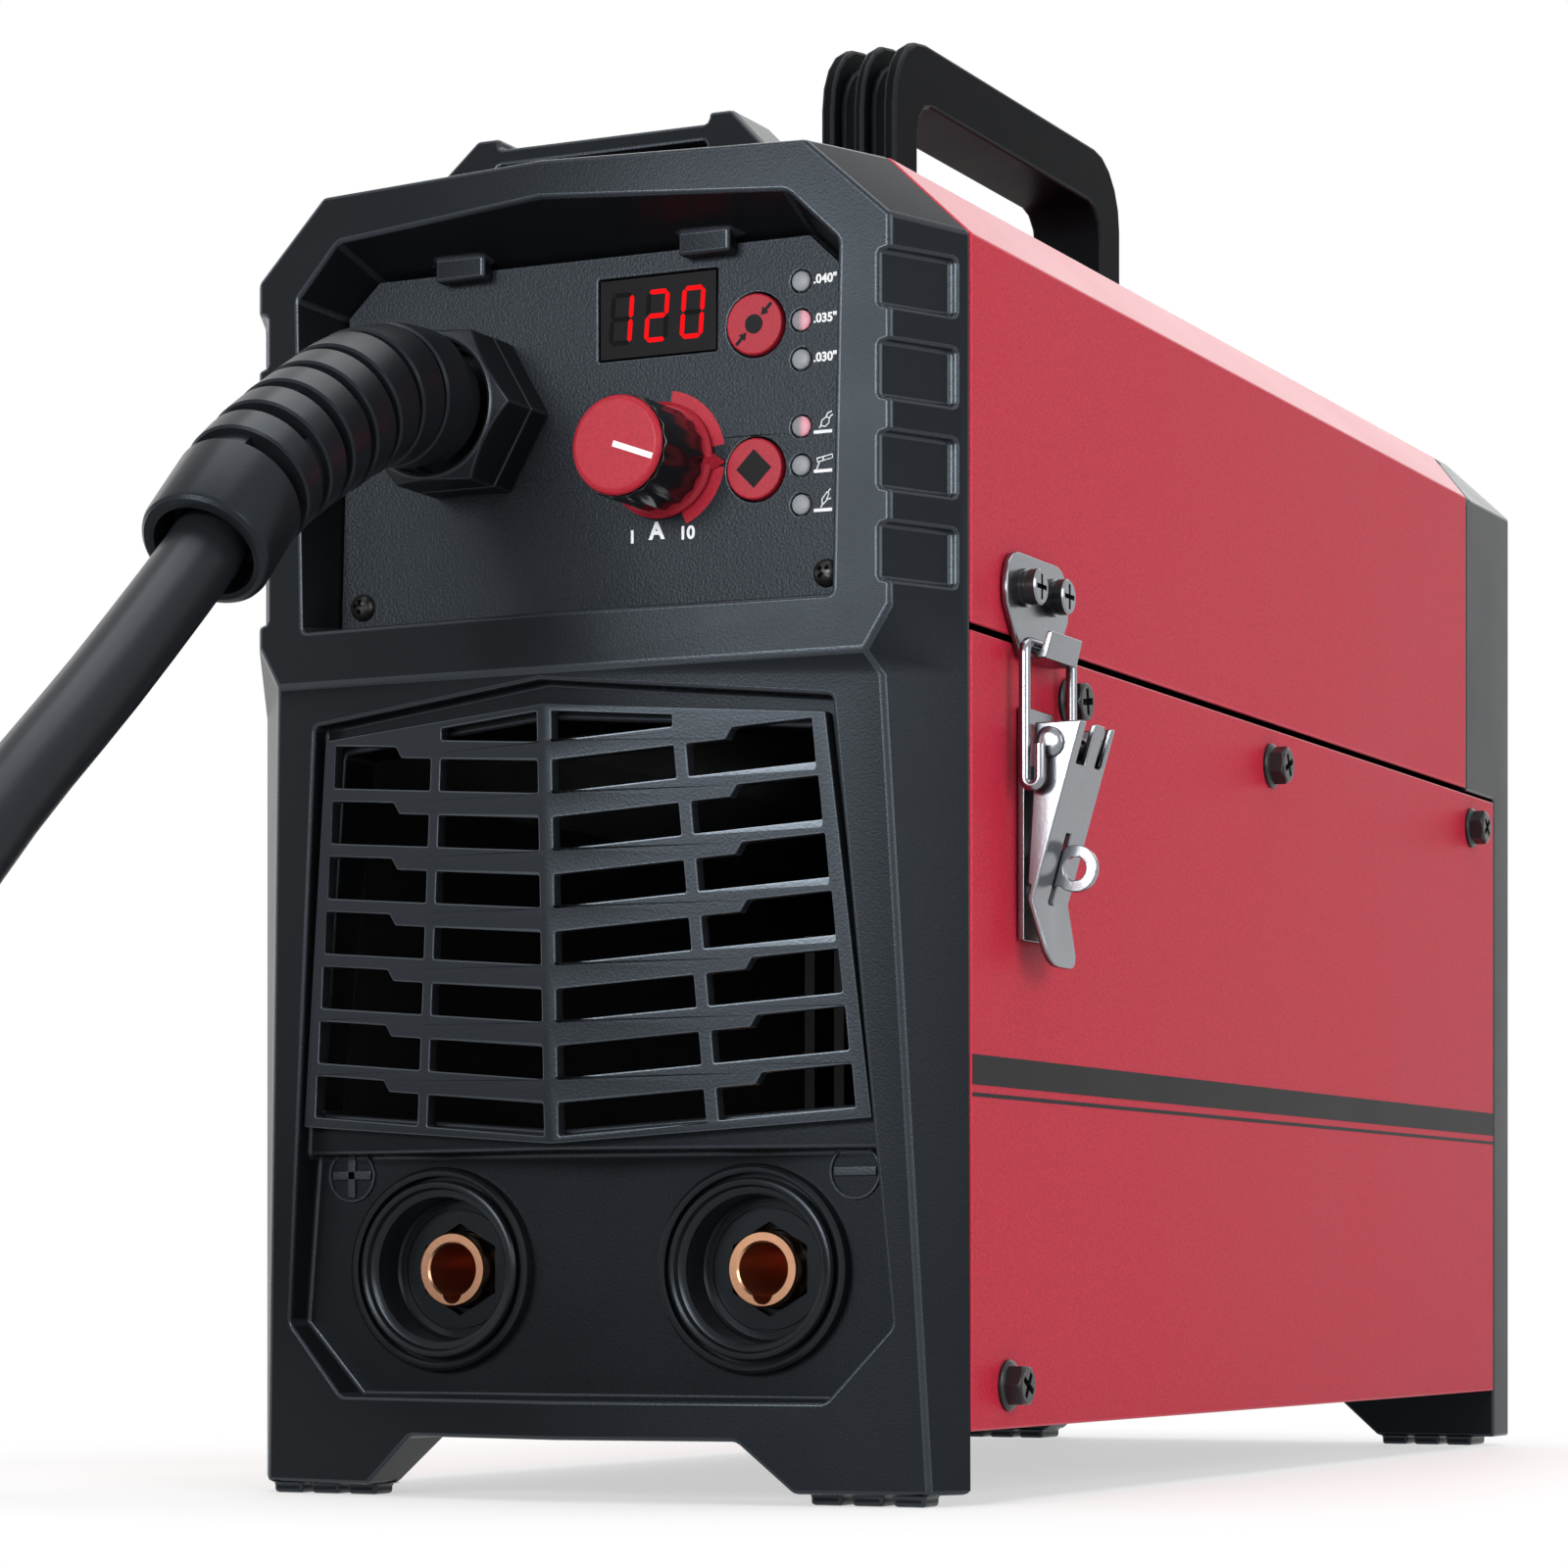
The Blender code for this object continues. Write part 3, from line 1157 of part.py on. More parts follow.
def keeper_plate():
    low = KEEPER_LOW_Z
    half, round_off = KEEPER_HALF, KEEPER_ROUND
    right = arc(half - round_off, KEEPER_Z, round_off, -KEEPER_SWEEP_ANGLE, 90)
    left = arc(round_off - half, KEEPER_Z, round_off, 90, 180 + KEEPER_SWEEP_ANGLE)
    outline = [(KEEPER_NECK_HALF, low)] + right + left + [(-KEEPER_NECK_HALF, low)]
    plate = prism([(LATCH_Y + a, b) for a, b in outline], "X", GAP, GAP + LATCH_PLATE)
    made = add_mesh("keeper_plate", plate, bright_steel, (CASE_HALF, 0, 0))
    inner = HOOK_REACH - 2 * LATCH_PLATE
    hook = [(GAP, low), (inner + LATCH_PLATE, low), (HOOK_REACH, low + HOOK_RISE),
            (HOOK_REACH - LATCH_PLATE, low + HOOK_RISE), (inner, low + LATCH_PLATE),
            (GAP, low + LATCH_PLATE)]
    unite(made, prism(hook, "Y", LATCH_Y - KEEPER_NECK_HALF, LATCH_Y + KEEPER_NECK_HALF))


def latch_bail():
    low = BAIL_LOW_Z - BAIL_AXIS_Z
    bend = (BAIL_RETURN - BAIL_OUT) / 2
    corner = 2 * BAIL_WIRE
    leg = [(2 * bend, low + BAIL_RETURN_RISE)] + arc(bend, low + bend, bend, 0, -180, 6)
    half = [(x, BAIL_HALF, z) for x, z in leg]
    half += [(0, y, z) for y, z in arc(BAIL_HALF - corner, -corner, corner, 0, 90, 3)]
    points = half + [(x, -y, z) for x, y, z in reversed(half)]
    tube("latch_bail", points, BAIL_WIRE, bright_steel, (CASE_HALF + BAIL_OUT, LATCH_Y, BAIL_AXIS_Z))


def web_out(z):
    if z > LEVER_KNEE_Z:
        share = (z - LEVER_KNEE_Z) / (LEVER_TOP_Z - LEVER_KNEE_Z)
        return LEVER_KNEE_OUT + share * (LEVER_TOP_OUT - LEVER_KNEE_OUT)
    share = (LEVER_KNEE_Z - z) / (LEVER_KNEE_Z - LEVER_TIP_Z)
    return LEVER_KNEE_OUT + share * (LEVER_TIP_OUT - LEVER_KNEE_OUT)


def lever_outline():
    top, knee, tip = LEVER_TOP_Z - PIVOT_Z, LEVER_KNEE_Z - PIVOT_Z, LEVER_TIP_Z - PIVOT_Z
    edge = LEVER_HALF - LEVER_TAPER
    corner = arc(edge - LEVER_TIP_ROUND, tip + LEVER_TIP_ROUND, LEVER_TIP_ROUND, -90, 0, 4)
    return mirrored(corner + [(LEVER_HALF, knee), (LEVER_HALF, top + GAP)])


def latch_lever():
    def seat(points):
        return [(out - PIVOT_OUT, z - PIVOT_Z) for out, z in points]

    skin = LATCH_PLATE
    near = [(LEVER_TOP_OUT, LEVER_TOP_Z), (LEVER_KNEE_OUT, LEVER_KNEE_Z), (LEVER_TIP_OUT, LEVER_TIP_Z)]
    web = seat(near + [(out + skin, z) for out, z in reversed(near)])
    made = add_mesh("latch_lever", prism(web, "Y", -LEVER_HALF, LEVER_HALF), bright_steel,
                    (CASE_HALF + PIVOT_OUT, LATCH_Y, PIVOT_Z))
    low = LEVER_KNEE_Z + 2 * skin
    cheek_in = PIVOT_OUT - 2 * PIVOT_RADIUS
    cheek = seat([(LEVER_TOP_OUT + skin / 2, LEVER_TOP_Z), (cheek_in, LEVER_TOP_Z),
                  (cheek_in, PIVOT_Z - 2 * PIVOT_RADIUS), (web_out(low) - skin / 2, low),
                  (web_out(low) + skin / 2, low)])
    for side in (-1, 1):
        ends = sorted((side * LEVER_HALF, side * (LEVER_HALF - skin)))
        unite(made, prism(cheek, "Y", *ends))
    cut(made, rod("Y", 0, 0, -2 * LEVER_HALF, 2 * LEVER_HALF, PIVOT_RADIUS + GAP, 16))
    combine(made, prism(lever_outline(), "X", -2 * LEVER_TOP_OUT, 2 * LEVER_TOP_OUT), "INTERSECT")
    notch = LEVER_TOP_Z - PIVOT_Z - LEVER_NOTCH_DEPTH
    for y in LEVER_NOTCHES:
        ends = (y - LEVER_NOTCH_WIDTH / 2, y + LEVER_NOTCH_WIDTH / 2)
        cut(made, block((-PIVOT_OUT, 2 * LEVER_TOP_OUT), ends, (notch, notch + 2 * LEVER_NOTCH_DEPTH)))
    slot_half = EYE_THICK / 2 + RUN
    reach = EYE_RADIUS + 4 * RUN
    cut(made, block((-PIVOT_OUT, 2 * LEVER_TOP_OUT), (-slot_half, slot_half),
                    (EYE_Z - PIVOT_Z - reach, EYE_Z - PIVOT_Z + reach)))


def latch_pin():
    flange = LEVER_HALF + GAP / 2
    head = flange + RIVET_HEAD
    end = [(0, head), (RIVET_RADIUS / 2, head), (RIVET_RADIUS, flange + RIVET_HEAD / 3),
           (RIVET_RADIUS, flange), (PIVOT_RADIUS, flange)]
    profile = end + [(radius, -along) for radius, along in reversed(end)]
    turned("latch_pin", profile, bright_steel, (CASE_HALF + PIVOT_OUT, LATCH_Y, PIVOT_Z), TURN_FRONT, 16)


def latch_base():
    plate = block((GAP, GAP + LATCH_PLATE), (LATCH_Y - LATCH_BASE_HALF, LATCH_Y + LATCH_BASE_HALF),
                  (LATCH_BASE_LOW_Z, LATCH_BASE_TOP_Z))
    made = add_mesh("latch_base", plate, bright_steel, (CASE_HALF, 0, 0))
    ear_out = PIVOT_OUT + 2 * PIVOT_RADIUS
    ear = [(GAP, PIVOT_Z - 3 * PIVOT_RADIUS), (ear_out, PIVOT_Z - 2 * PIVOT_RADIUS),
           (ear_out, PIVOT_Z + PIVOT_RADIUS), (GAP, PIVOT_Z + 3 * PIVOT_RADIUS)]
    for side in (-1, 1):
        near = LATCH_Y + side * EAR_HALF
        unite(made, prism(ear, "Y", *sorted((near, near - side * LATCH_PLATE))))
    ears = (LATCH_Y - 2 * EAR_HALF, LATCH_Y + 2 * EAR_HALF)
    cut(made, rod("Y", PIVOT_OUT, PIVOT_Z, *ears, PIVOT_RADIUS + GAP, 16))
    eye = arc(EYE_OUT, EYE_Z, EYE_RADIUS, -135, 135, 14) + [(GAP, EYE_Z + EYE_NECK), (GAP, EYE_Z - EYE_NECK)]
    hole = circle(EYE_OUT, EYE_Z, EYE_HOLE, 14)
    unite(made, fill([eye, hole], "Y", LATCH_Y - EYE_THICK / 2, LATCH_Y + EYE_THICK / 2))


# Rear end

def case_edge():
    slack = SHEET + GAP
    shoulder = CASE_HEIGHT - CASE_CHAMFER_Z - slack
    side, top, panel = LID_SIDE_REAR_Y + GAP, LID_TOP_REAR_Y + GAP, PANEL_REAR_Y + GAP
    return [(0, -FLANGE), (panel, -FLANGE), (panel, SPLIT_Z), (side, SPLIT_Z), (side, shoulder),
            (top, CASE_HEIGHT - slack), (top, 2 * CASE_HEIGHT), (0, 2 * CASE_HEIGHT)]


def rear_bezel():
    outline = mirrored([(ARCH_HALF, ARCH_Z), (ARCH_FOOT_HALF, FOOT_Z), (CASE_HALF, FOOT_Z),
                        (CASE_HALF, CASE_HEIGHT - CASE_CHAMFER_Z),
                        (CASE_HALF - CASE_CHAMFER_X, CASE_HEIGHT)])
    made = add_mesh("rear_bezel", prism(outline, "Y", LID_SIDE_REAR_Y, REAR_Y), black_plastic)
    cut(made, prism(case_edge(), "X", -CASE_WIDTH, CASE_WIDTH))
    inside = case_profile(PANEL_BOTTOM_Z + REAR_WALL, REAR_WALL)
    cut(made, prism(inside, "Y", 0, REAR_PLATE_Y + REAR_PLATE_THICK + GAP))
    rim = case_profile(PANEL_BOTTOM_Z + 2 * REAR_WALL, 2 * REAR_WALL)
    cut(made, prism(rim, "Y", 0, 2 * REAR_Y))
    unite(made, foot_pads(PANEL_REAR_Y + 2 * GAP, REAR_Y - GAP))


def rear_panel():
    outline = case_profile(PANEL_BOTTOM_Z + REAR_WALL + GAP, REAR_WALL + GAP)
    holes = []
    for i in range(VENT_COUNT):
        z = (i - (VENT_COUNT - 1) / 2) * VENT_PITCH
        half = math.sqrt(FAN_HOLE_RADIUS ** 2 - z ** 2) - VENT_HEIGHT / 2
        holes.append(window(0, FAN_Z + z, 2 * half, VENT_HEIGHT))
    holes.append(window(SWITCH_X, REAR_ITEM_Z, SWITCH_WIDTH + 2 * GAP, SWITCH_HEIGHT + 2 * GAP))
    holes.append(circle(MAINS_X, REAR_ITEM_Z, MAINS_NECK + GAP))
    plate = fill([outline] + holes, "Y", REAR_PLATE_Y, REAR_PLATE_Y + REAR_PLATE_THICK)
    add_mesh("rear_panel", plate, dull_steel)


def fan():
    back = REAR_PLATE_Y - GAP
    front = back - FAN_DEPTH
    half = FAN_SIZE / 2
    square = block((-half, half), (front, back), (FAN_Z - half, FAN_Z + half))
    frame = add_mesh("fan_frame", square, black_plastic)
    cut(frame, rod("Y", 0, FAN_Z, 0, 2 * back, FAN_HOLE_RADIUS, 40))
    strut = (back - FAN_STRUT, back)
    unite(frame, block((-half + GAP, half - GAP), strut, (FAN_Z - FAN_STRUT / 2, FAN_Z + FAN_STRUT / 2)))
    unite(frame, block((-FAN_STRUT / 2, FAN_STRUT / 2), strut, (FAN_Z - half + GAP, FAN_Z + half - GAP)))
    unite(frame, rod("Y", 0, FAN_Z, back - FAN_STRUT, back, FAN_HUB_RADIUS, 24))
    hub_back = back - FAN_STRUT - GAP
    hub_front = hub_back - FAN_HUB_DEPTH
    unite(frame, rod("Y", 0, FAN_Z, hub_front + FAN_STRUT, back - GAP, FAN_PIN_RADIUS, 12))
    rotor = add_mesh("fan_rotor", rod("Y", 0, 0, hub_front - hub_back, 0, FAN_HUB_RADIUS, 28), black_plastic,
                     (0, hub_back, FAN_Z))
    blades = []
    for i in range(FAN_BLADES):
        blade = block((-FAN_BLADE_THICK / 2, FAN_BLADE_THICK / 2), (-FAN_BLADE_HALF, FAN_BLADE_HALF),
                      (FAN_HUB_RADIUS - FAN_BLADE_ROOT, FAN_BLADE_RADIUS))
        pitch = Matrix.Rotation(math.radians(FAN_BLADE_ANGLE), 4, "Z")
        around = Matrix.Rotation(2 * math.pi * i / FAN_BLADES, 4, "Y")
        middle = Matrix.Translation((0, -FAN_HUB_DEPTH / 2, 0))
        bmesh.ops.transform(blade, matrix=middle @ around @ pitch, verts=blade.verts)
        blades.append(blade)
    unite(rotor, joined(*blades))
    cut(rotor, rod("Y", 0, 0, hub_front - hub_back + FAN_STRUT - GAP, GAP, FAN_PIN_RADIUS + GAP, 12))


def power_switch():
    back = REAR_PLATE_Y + REAR_PLATE_THICK
    wide, tall = SWITCH_WIDTH / 2, SWITCH_HEIGHT / 2
    box = block((SWITCH_X - wide, SWITCH_X + wide), (back - SWITCH_DEPTH, back + SWITCH_RIM),
                (REAR_ITEM_Z - tall, REAR_ITEM_Z + tall))
    made = add_mesh("power_switch", box, black_plastic)
    rim_wide, rim_tall = wide + SWITCH_RIM, tall + SWITCH_RIM
    unite(made, block((SWITCH_X - rim_wide, SWITCH_X + rim_wide), (back + GAP, back + SWITCH_RIM),
                      (REAR_ITEM_Z - rim_tall, REAR_ITEM_Z + rim_tall)))
    well_wide, well_tall = wide - SWITCH_RIM + RUN, tall - SWITCH_RIM + RUN
    cut(made, block((SWITCH_X - well_wide, SWITCH_X + well_wide),
                    (back - SWITCH_DEPTH / 2, back + 2 * SWITCH_RIM),
                    (REAR_ITEM_Z - well_tall, REAR_ITEM_Z + well_tall)))
    lean = math.sin(math.radians(ROCKER_ANGLE))
    reach = tall - SWITCH_RIM - ROCKER_PROUD * lean
    keel = SWITCH_RIM - SWITCH_DEPTH / 2
    face = [(0, -reach), (ROCKER_PROUD, RUN - reach), (ROCKER_PROUD - reach * lean / 2, 0),
            (ROCKER_PROUD, reach - RUN), (0, reach), (keel, reach / 3), (keel, -reach / 3)]
    rocker = prism(face, "X", -wide + SWITCH_RIM, wide - SWITCH_RIM)
    tilt = Matrix.Rotation(math.radians(-ROCKER_ANGLE), 3, "X")
    bmesh.ops.rotate(rocker, verts=rocker.verts, cent=(0, 0, 0), matrix=tilt)
    add_mesh("power_rocker", rocker, black_plastic, (SWITCH_X, back + GAP, REAR_ITEM_Z))


def mains_gland():
    face = REAR_PLATE_Y + REAR_PLATE_THICK + GAP
    inner = REAR_PLATE_Y - MAINS_LENGTH
    profile = [(MAINS_BORE, MAINS_LENGTH), (MAINS_NECK, MAINS_LENGTH), (MAINS_RADIUS, MAINS_COLLAR),
               (MAINS_RADIUS, 0), (MAINS_NECK, 0), (MAINS_NECK, inner - face), (MAINS_BORE, inner - face)]
    turned("mains_gland", profile, black_plastic, (MAINS_X, face, REAR_ITEM_Z), TURN_REAR, 24, closed=True)


# Inside

def inverter():
    floor = PANEL_BOTTOM_Z + SHEET + GAP
    top = INNER_BOARD_Z + BOARD_THICK
    sheet = block((-INNER_BOARD_HALF, INNER_BOARD_HALF), (INNER_BOARD_FRONT_Y, INNER_BOARD_REAR_Y),
                  (INNER_BOARD_Z, top))
    board = add_mesh("inverter_board", sheet, board_green)
    inset = 2 * POST_RADIUS
    posts = [rod("Z", x, y, floor, INNER_BOARD_Z + BOARD_THICK / 2, POST_RADIUS, 12)
             for x in (-INNER_BOARD_HALF + inset, INNER_BOARD_HALF - inset)
             for y in (INNER_BOARD_FRONT_Y + inset, INNER_BOARD_REAR_Y - inset)]
    unite(board, joined(*posts))
    seat = top + GAP
    pitch = (HEAT_SINK_WIDTH - HEAT_SINK_FIN) / (SINK_FIN_COUNT - 1)
    comb = [(HEAT_SINK_X, seat)]
    for i in range(SINK_FIN_COUNT):
        left = HEAT_SINK_X + i * pitch
        right = left + HEAT_SINK_FIN
        comb += [(left, seat + HEAT_SINK_HEIGHT), (right, seat + HEAT_SINK_HEIGHT)]
        if i < SINK_FIN_COUNT - 1:
            comb += [(right, seat + HEAT_SINK_BASE), (left + pitch, seat + HEAT_SINK_BASE)]
    comb.append((HEAT_SINK_X + HEAT_SINK_WIDTH, seat))
    add_mesh("heat_sink", prism(comb, "Y", HEAT_SINK_FRONT_Y, HEAT_SINK_REAR_Y), aluminium)
    ring = list(reversed(circle(RING_RADIUS, 0, RING_TUBE, 12)))
    turned("transformer", ring, winding, (RING_X, RING_Y, seat + RING_TUBE), steps=24, closed=True)


def wire_feeder():
    roll_z = GLAND_Z - ROLL_RADIUS
    right = FEED_PLATE_X + FEED_PLATE_THICK
    floor = DECK_Z + GAP
    pivot_y, pivot_z = FEED_Y + ARM_PIVOT_OFFSET, GLAND_Z + PRESS_GAP + PRESS_RADIUS
    top = pivot_z + 2 * ARM_PIN_RADIUS
    outline = [(FEED_Y - FEED_PLATE_HALF, floor), (FEED_Y + FEED_PLATE_HALF, floor),
               (FEED_Y + FEED_PLATE_HALF, top), (FEED_Y, top), (FEED_Y - FEED_PLATE_HALF, roll_z)]
    plate = add_mesh("feed_plate", prism(outline, "X", FEED_PLATE_X, right), aluminium)
    unite(plate, block((FEED_PLATE_X, right + FEED_FOOT),
                       (FEED_Y - FEED_PLATE_HALF, FEED_Y + FEED_PLATE_HALF),
                       (floor, floor + FEED_PLATE_THICK)))
    cut(plate, rod("X", FEED_Y, roll_z, FEED_PLATE_X - GAP, right + GAP, MOTOR_SHAFT_RADIUS + GAP))
    cut(plate, rod("X", pivot_y, pivot_z, FEED_PLATE_X - GAP, right + GAP, ARM_PIN_RADIUS + GAP))
    left = FEED_PLATE_X - GAP - ROLL_WIDTH
    shaft_end = left - right
    can = [(0, MOTOR_LENGTH), (MOTOR_RADIUS - MOTOR_EDGE, MOTOR_LENGTH),
           (MOTOR_RADIUS, MOTOR_LENGTH - MOTOR_EDGE), (MOTOR_RADIUS, GAP), (MOTOR_SHAFT_RADIUS, GAP),
           (MOTOR_SHAFT_RADIUS, shaft_end), (0, shaft_end)]
    turned("feed_motor", can, dull_steel, (right, FEED_Y, roll_z), TURN_SIDE, 24)
    bore = MOTOR_SHAFT_RADIUS + GAP
    mid = ROLL_WIDTH / 2
    rim = [(ROLL_RADIUS, mid), (ROLL_RADIUS, 2 * ROLL_GROOVE), (ROLL_RADIUS - ROLL_GROOVE, 0),
           (ROLL_RADIUS, -2 * ROLL_GROOVE), (ROLL_RADIUS, -mid)]
    turned("drive_roll", [(bore, mid)] + rim + [(bore, -mid)], bright_steel, (left + mid, FEED_Y, roll_z),
           TURN_SIDE, 24, closed=True)
    bore = ARM_PIN_RADIUS + GAP
    turned("pressure_roll", [(bore, mid), (PRESS_RADIUS, mid), (PRESS_RADIUS, -mid), (bore, -mid)],
           bright_steel, (left + mid, FEED_Y, pivot_z), TURN_SIDE, 24, closed=True)
    outer = left - GAP
    bar = [(-ARM_PIVOT_OFFSET - ARM_REACH, -ARM_HALF), (ARM_HALF, -ARM_HALF), (ARM_HALF, ARM_HALF),
           (-ARM_PIVOT_OFFSET - ARM_REACH, ARM_HALF)]
    shape = prism(bar, "X", outer - ARM_THICK, outer)
    arm = add_mesh("pressure_arm", shape, aluminium, (0, pivot_y, pivot_z))
    unite(arm, rod("X", -ARM_PIVOT_OFFSET, 0, outer - ARM_THICK / 2, left + ROLL_WIDTH, ARM_PIN_RADIUS, 16))
    unite(arm, rod("X", 0, 0, outer - ARM_THICK / 2, right, ARM_PIN_RADIUS, 16))


def spool_carrier():
    floor = DECK_Z + GAP
    post = [(0, SPINDLE_HEIGHT), (SPINDLE_RADIUS, SPINDLE_HEIGHT), (SPINDLE_RADIUS, HUB_FLANGE_THICK),
            (SPINDLE_FLANGE, HUB_FLANGE_THICK), (SPINDLE_FLANGE, 0), (0, 0)]
    turned("spool_spindle", post, dull_steel, (0, SPINDLE_Y, floor), steps=20)
    bore = SPINDLE_RADIUS + GAP
    hub = [(bore, HUB_HEIGHT), (HUB_RADIUS, HUB_HEIGHT), (HUB_RADIUS, HUB_FLANGE_THICK),
           (HUB_FLANGE, HUB_FLANGE_THICK), (HUB_FLANGE, 0), (bore, 0)]
    seat = floor + HUB_FLANGE_THICK + GAP
    turned("spool_hub", hub, black_plastic, (0, SPINDLE_Y, seat), steps=24, closed=True)


# Torch and its cable

def torch_cable():
    points = smooth_route(CABLE_ROUTE, CABLE_POINTS)
    tube("torch_cable", points, CABLE_RADIUS, rubber)
    ribbed = 4 * BOOT_RIBS
    count = ribbed + BOOT_COLLAR_STEPS + 1
    route = smooth_route(BOOT_ROUTE, count)
    radii = []
    for i in range(count):
        share = i / (count - 1)
        outer = BOOT_RADIUS + (BOOT_END_RADIUS - BOOT_RADIUS) * share
        radii.append((outer - BOOT_GROOVE * (i % 4 == 3 and i < ribbed)) / BOOT_RADIUS)
    tube("torch_boot", route, BOOT_RADIUS, rubber, sides=4, radii=radii)
    corner = COIL_CORNER
    out, rise = COIL_RADIUS + COIL_SECTION, 2 * COIL_SECTION
    inn = COIL_RADIUS - COIL_SECTION
    ring = [(inn, rise - corner), (inn + corner, rise), (out - corner, rise), (out, rise - corner),
            (out, corner), (out - corner, 0), (inn + corner, 0), (inn, corner)]
    turned("torch_cable_coil", ring, rubber, (COIL_X, COIL_Y, 0), steps=36, closed=True)


def ribbon(points, thickness):
    route = [Vector(p) for p in points]
    sides = []
    for i, point in enumerate(route):
        ahead = (route[min(i + 1, len(route) - 1)] - route[max(i - 1, 0)]).normalized()
        sides.append((point, Vector((-ahead.y, ahead.x)) * thickness / 2))
    return [tuple(p + n) for p, n in sides] + [tuple(p - n) for p, n in reversed(sides)]


def torch():
    rest = 2 * COIL_SECTION + GAP
    middle = rest + TORCH_THICK / 2
    x, y = COIL_X - COIL_RADIUS, COIL_Y - TORCH_START
    front = TORCH_LENGTH
    head = front - TORCH_HEAD
    outline = [(-TORCH_REAR_HALF, 0), (TORCH_REAR_HALF, 0), (TORCH_GRIP_HALF, head / 2),
               (TORCH_BELLY, head), (TORCH_BELLY, front), (-TORCH_BACK, front), (-TORCH_BACK, head),
               (-TORCH_GRIP_HALF, head / 2)]
    made = add_mesh("torch_handle", prism(outline, "Z", rest, rest + TORCH_THICK), black_plastic, (x, y, 0))
    bevel = made.modifiers.new("edge", "BEVEL")
    bevel.width = TORCH_EDGE
    bevel.segments = 2
    bevel.angle_limit = math.radians(50)
    cut(made, rod("Y", 0, middle, front - NECK_SOCKET, 2 * front, NECK_RADIUS + GAP))
    tail = front - TRIGGER_MARGIN - TRIGGER_LENGTH
    floor = TORCH_BELLY - TRIGGER_DEPTH - TRIGGER_TRAVEL
    cut(made, block((floor - GAP, 2 * TORCH_BELLY), (tail - 3 * RUN, front - TRIGGER_MARGIN + RUN),
                    (middle - TRIGGER_HALF - RUN, middle + TRIGGER_HALF + RUN)))
    trigger(x, y, middle)
    neck(x, y, middle)
    back = -TORCH_BACK - GAP - HOOK_STRIP / 2
    strip = [(back, front - HOOK_BASE - HOOK_CURL), (back, front - 3 * HOOK_CURL)]
    strip += [(back - HOOK_CURL + c, front - 2 * HOOK_CURL - d) for c, d in arc(0, 0, HOOK_CURL, 0, -150, 5)]
    shape = prism(ribbon(strip, HOOK_STRIP), "Z", middle - HOOK_HALF, middle + HOOK_HALF)
    add_mesh("torch_hook", shape, bright_steel, (x, y, 0))


def trigger(x, y, middle):
    pivot = TORCH_LENGTH - TRIGGER_MARGIN - TRIGGER_HALF / 2
    inner, outer = -TRIGGER_DEPTH / 2, TRIGGER_DEPTH / 2 + TRIGGER_PROUD
    tail = TRIGGER_HALF / 2 - TRIGGER_LENGTH
    waist = outer - TRIGGER_PROUD / 2
    outline = [(inner, tail), (waist, tail), (outer, -TRIGGER_CROWN), (waist, -TRIGGER_DIP),
               (TRIGGER_DEPTH / 2, TRIGGER_HALF / 2), (inner, TRIGGER_HALF / 2)]
    add_mesh("torch_trigger", prism(outline, "Z", -TRIGGER_HALF, TRIGGER_HALF), red_plastic,
             (x + TORCH_BELLY - TRIGGER_DEPTH / 2, y + pivot, middle))


def neck(x, y, middle):
    start = TORCH_LENGTH - NECK_SOCKET + GAP
    bend_y = TORCH_LENGTH + NECK_RUN
    turn = math.radians(NECK_ANGLE)
    way = Vector((math.sin(turn), math.cos(turn), 0))
    curve = arc(NECK_CURVE_RADIUS, bend_y, NECK_CURVE_RADIUS, 180, 180 - NECK_ANGLE, 6)
    bent = [Vector((a, b, 0)) for a, b in curve]
    end = bent[-1] + way * NECK_END
    points = [Vector((0, start, 0))] + bent + [end, end + way * GAP, end + way * TIP_LENGTH]
    radii = [1] * (len(points) - 2) + [TIP_RADIUS / NECK_RADIUS] * 2
    tube("torch_neck", points, NECK_RADIUS, rubber, (x, y, middle), sides=3, radii=radii)
    seat = end - way * NOZZLE_LAP
    bore = NECK_RADIUS + GAP
    profile = [(NOZZLE_END_RADIUS - NOZZLE_WALL, NOZZLE_LENGTH), (NOZZLE_END_RADIUS, NOZZLE_LENGTH),
               (NOZZLE_RADIUS, NOZZLE_LENGTH / 2), (NOZZLE_RADIUS, 0), (bore, 0), (bore, NOZZLE_LENGTH / 2)]
    turned("torch_nozzle", profile, bright_steel, (x + seat.x, y + seat.y, middle),
           (math.radians(-90), 0, -turn), 20, closed=True)


front_bezel()
intake_grille()
control_panel()
display_module()
light_pipe("wire_lights", WIRE_BUTTON_DROP)
light_pipe("mode_lights", MODE_BUTTON_DROP)
push_button("wire_button", WIRE_BUTTON_DROP)
push_button("mode_button", MODE_BUTTON_DROP)
knob()
control_board()
output_socket("positive", -SOCKET_X)
output_socket("negative", SOCKET_X)
torch_gland()
lid_shell()
side_panel("side_panel_right", 1)
side_panel("side_panel_left", -1)
base_tray()
mid_deck()
carry_handle()
hinge()
keeper_plate()
latch_bail()
latch_lever()
latch_pin()
latch_base()
rear_bezel()
rear_panel()
fan()
power_switch()
mains_gland()
inverter()
wire_feeder()
spool_carrier()
torch_cable()
torch()
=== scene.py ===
# Looks of a compact wire-feed welding machine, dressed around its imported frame.

import json
from math import cos, pi, radians, sin

import bpy
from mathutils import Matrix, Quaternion, Vector

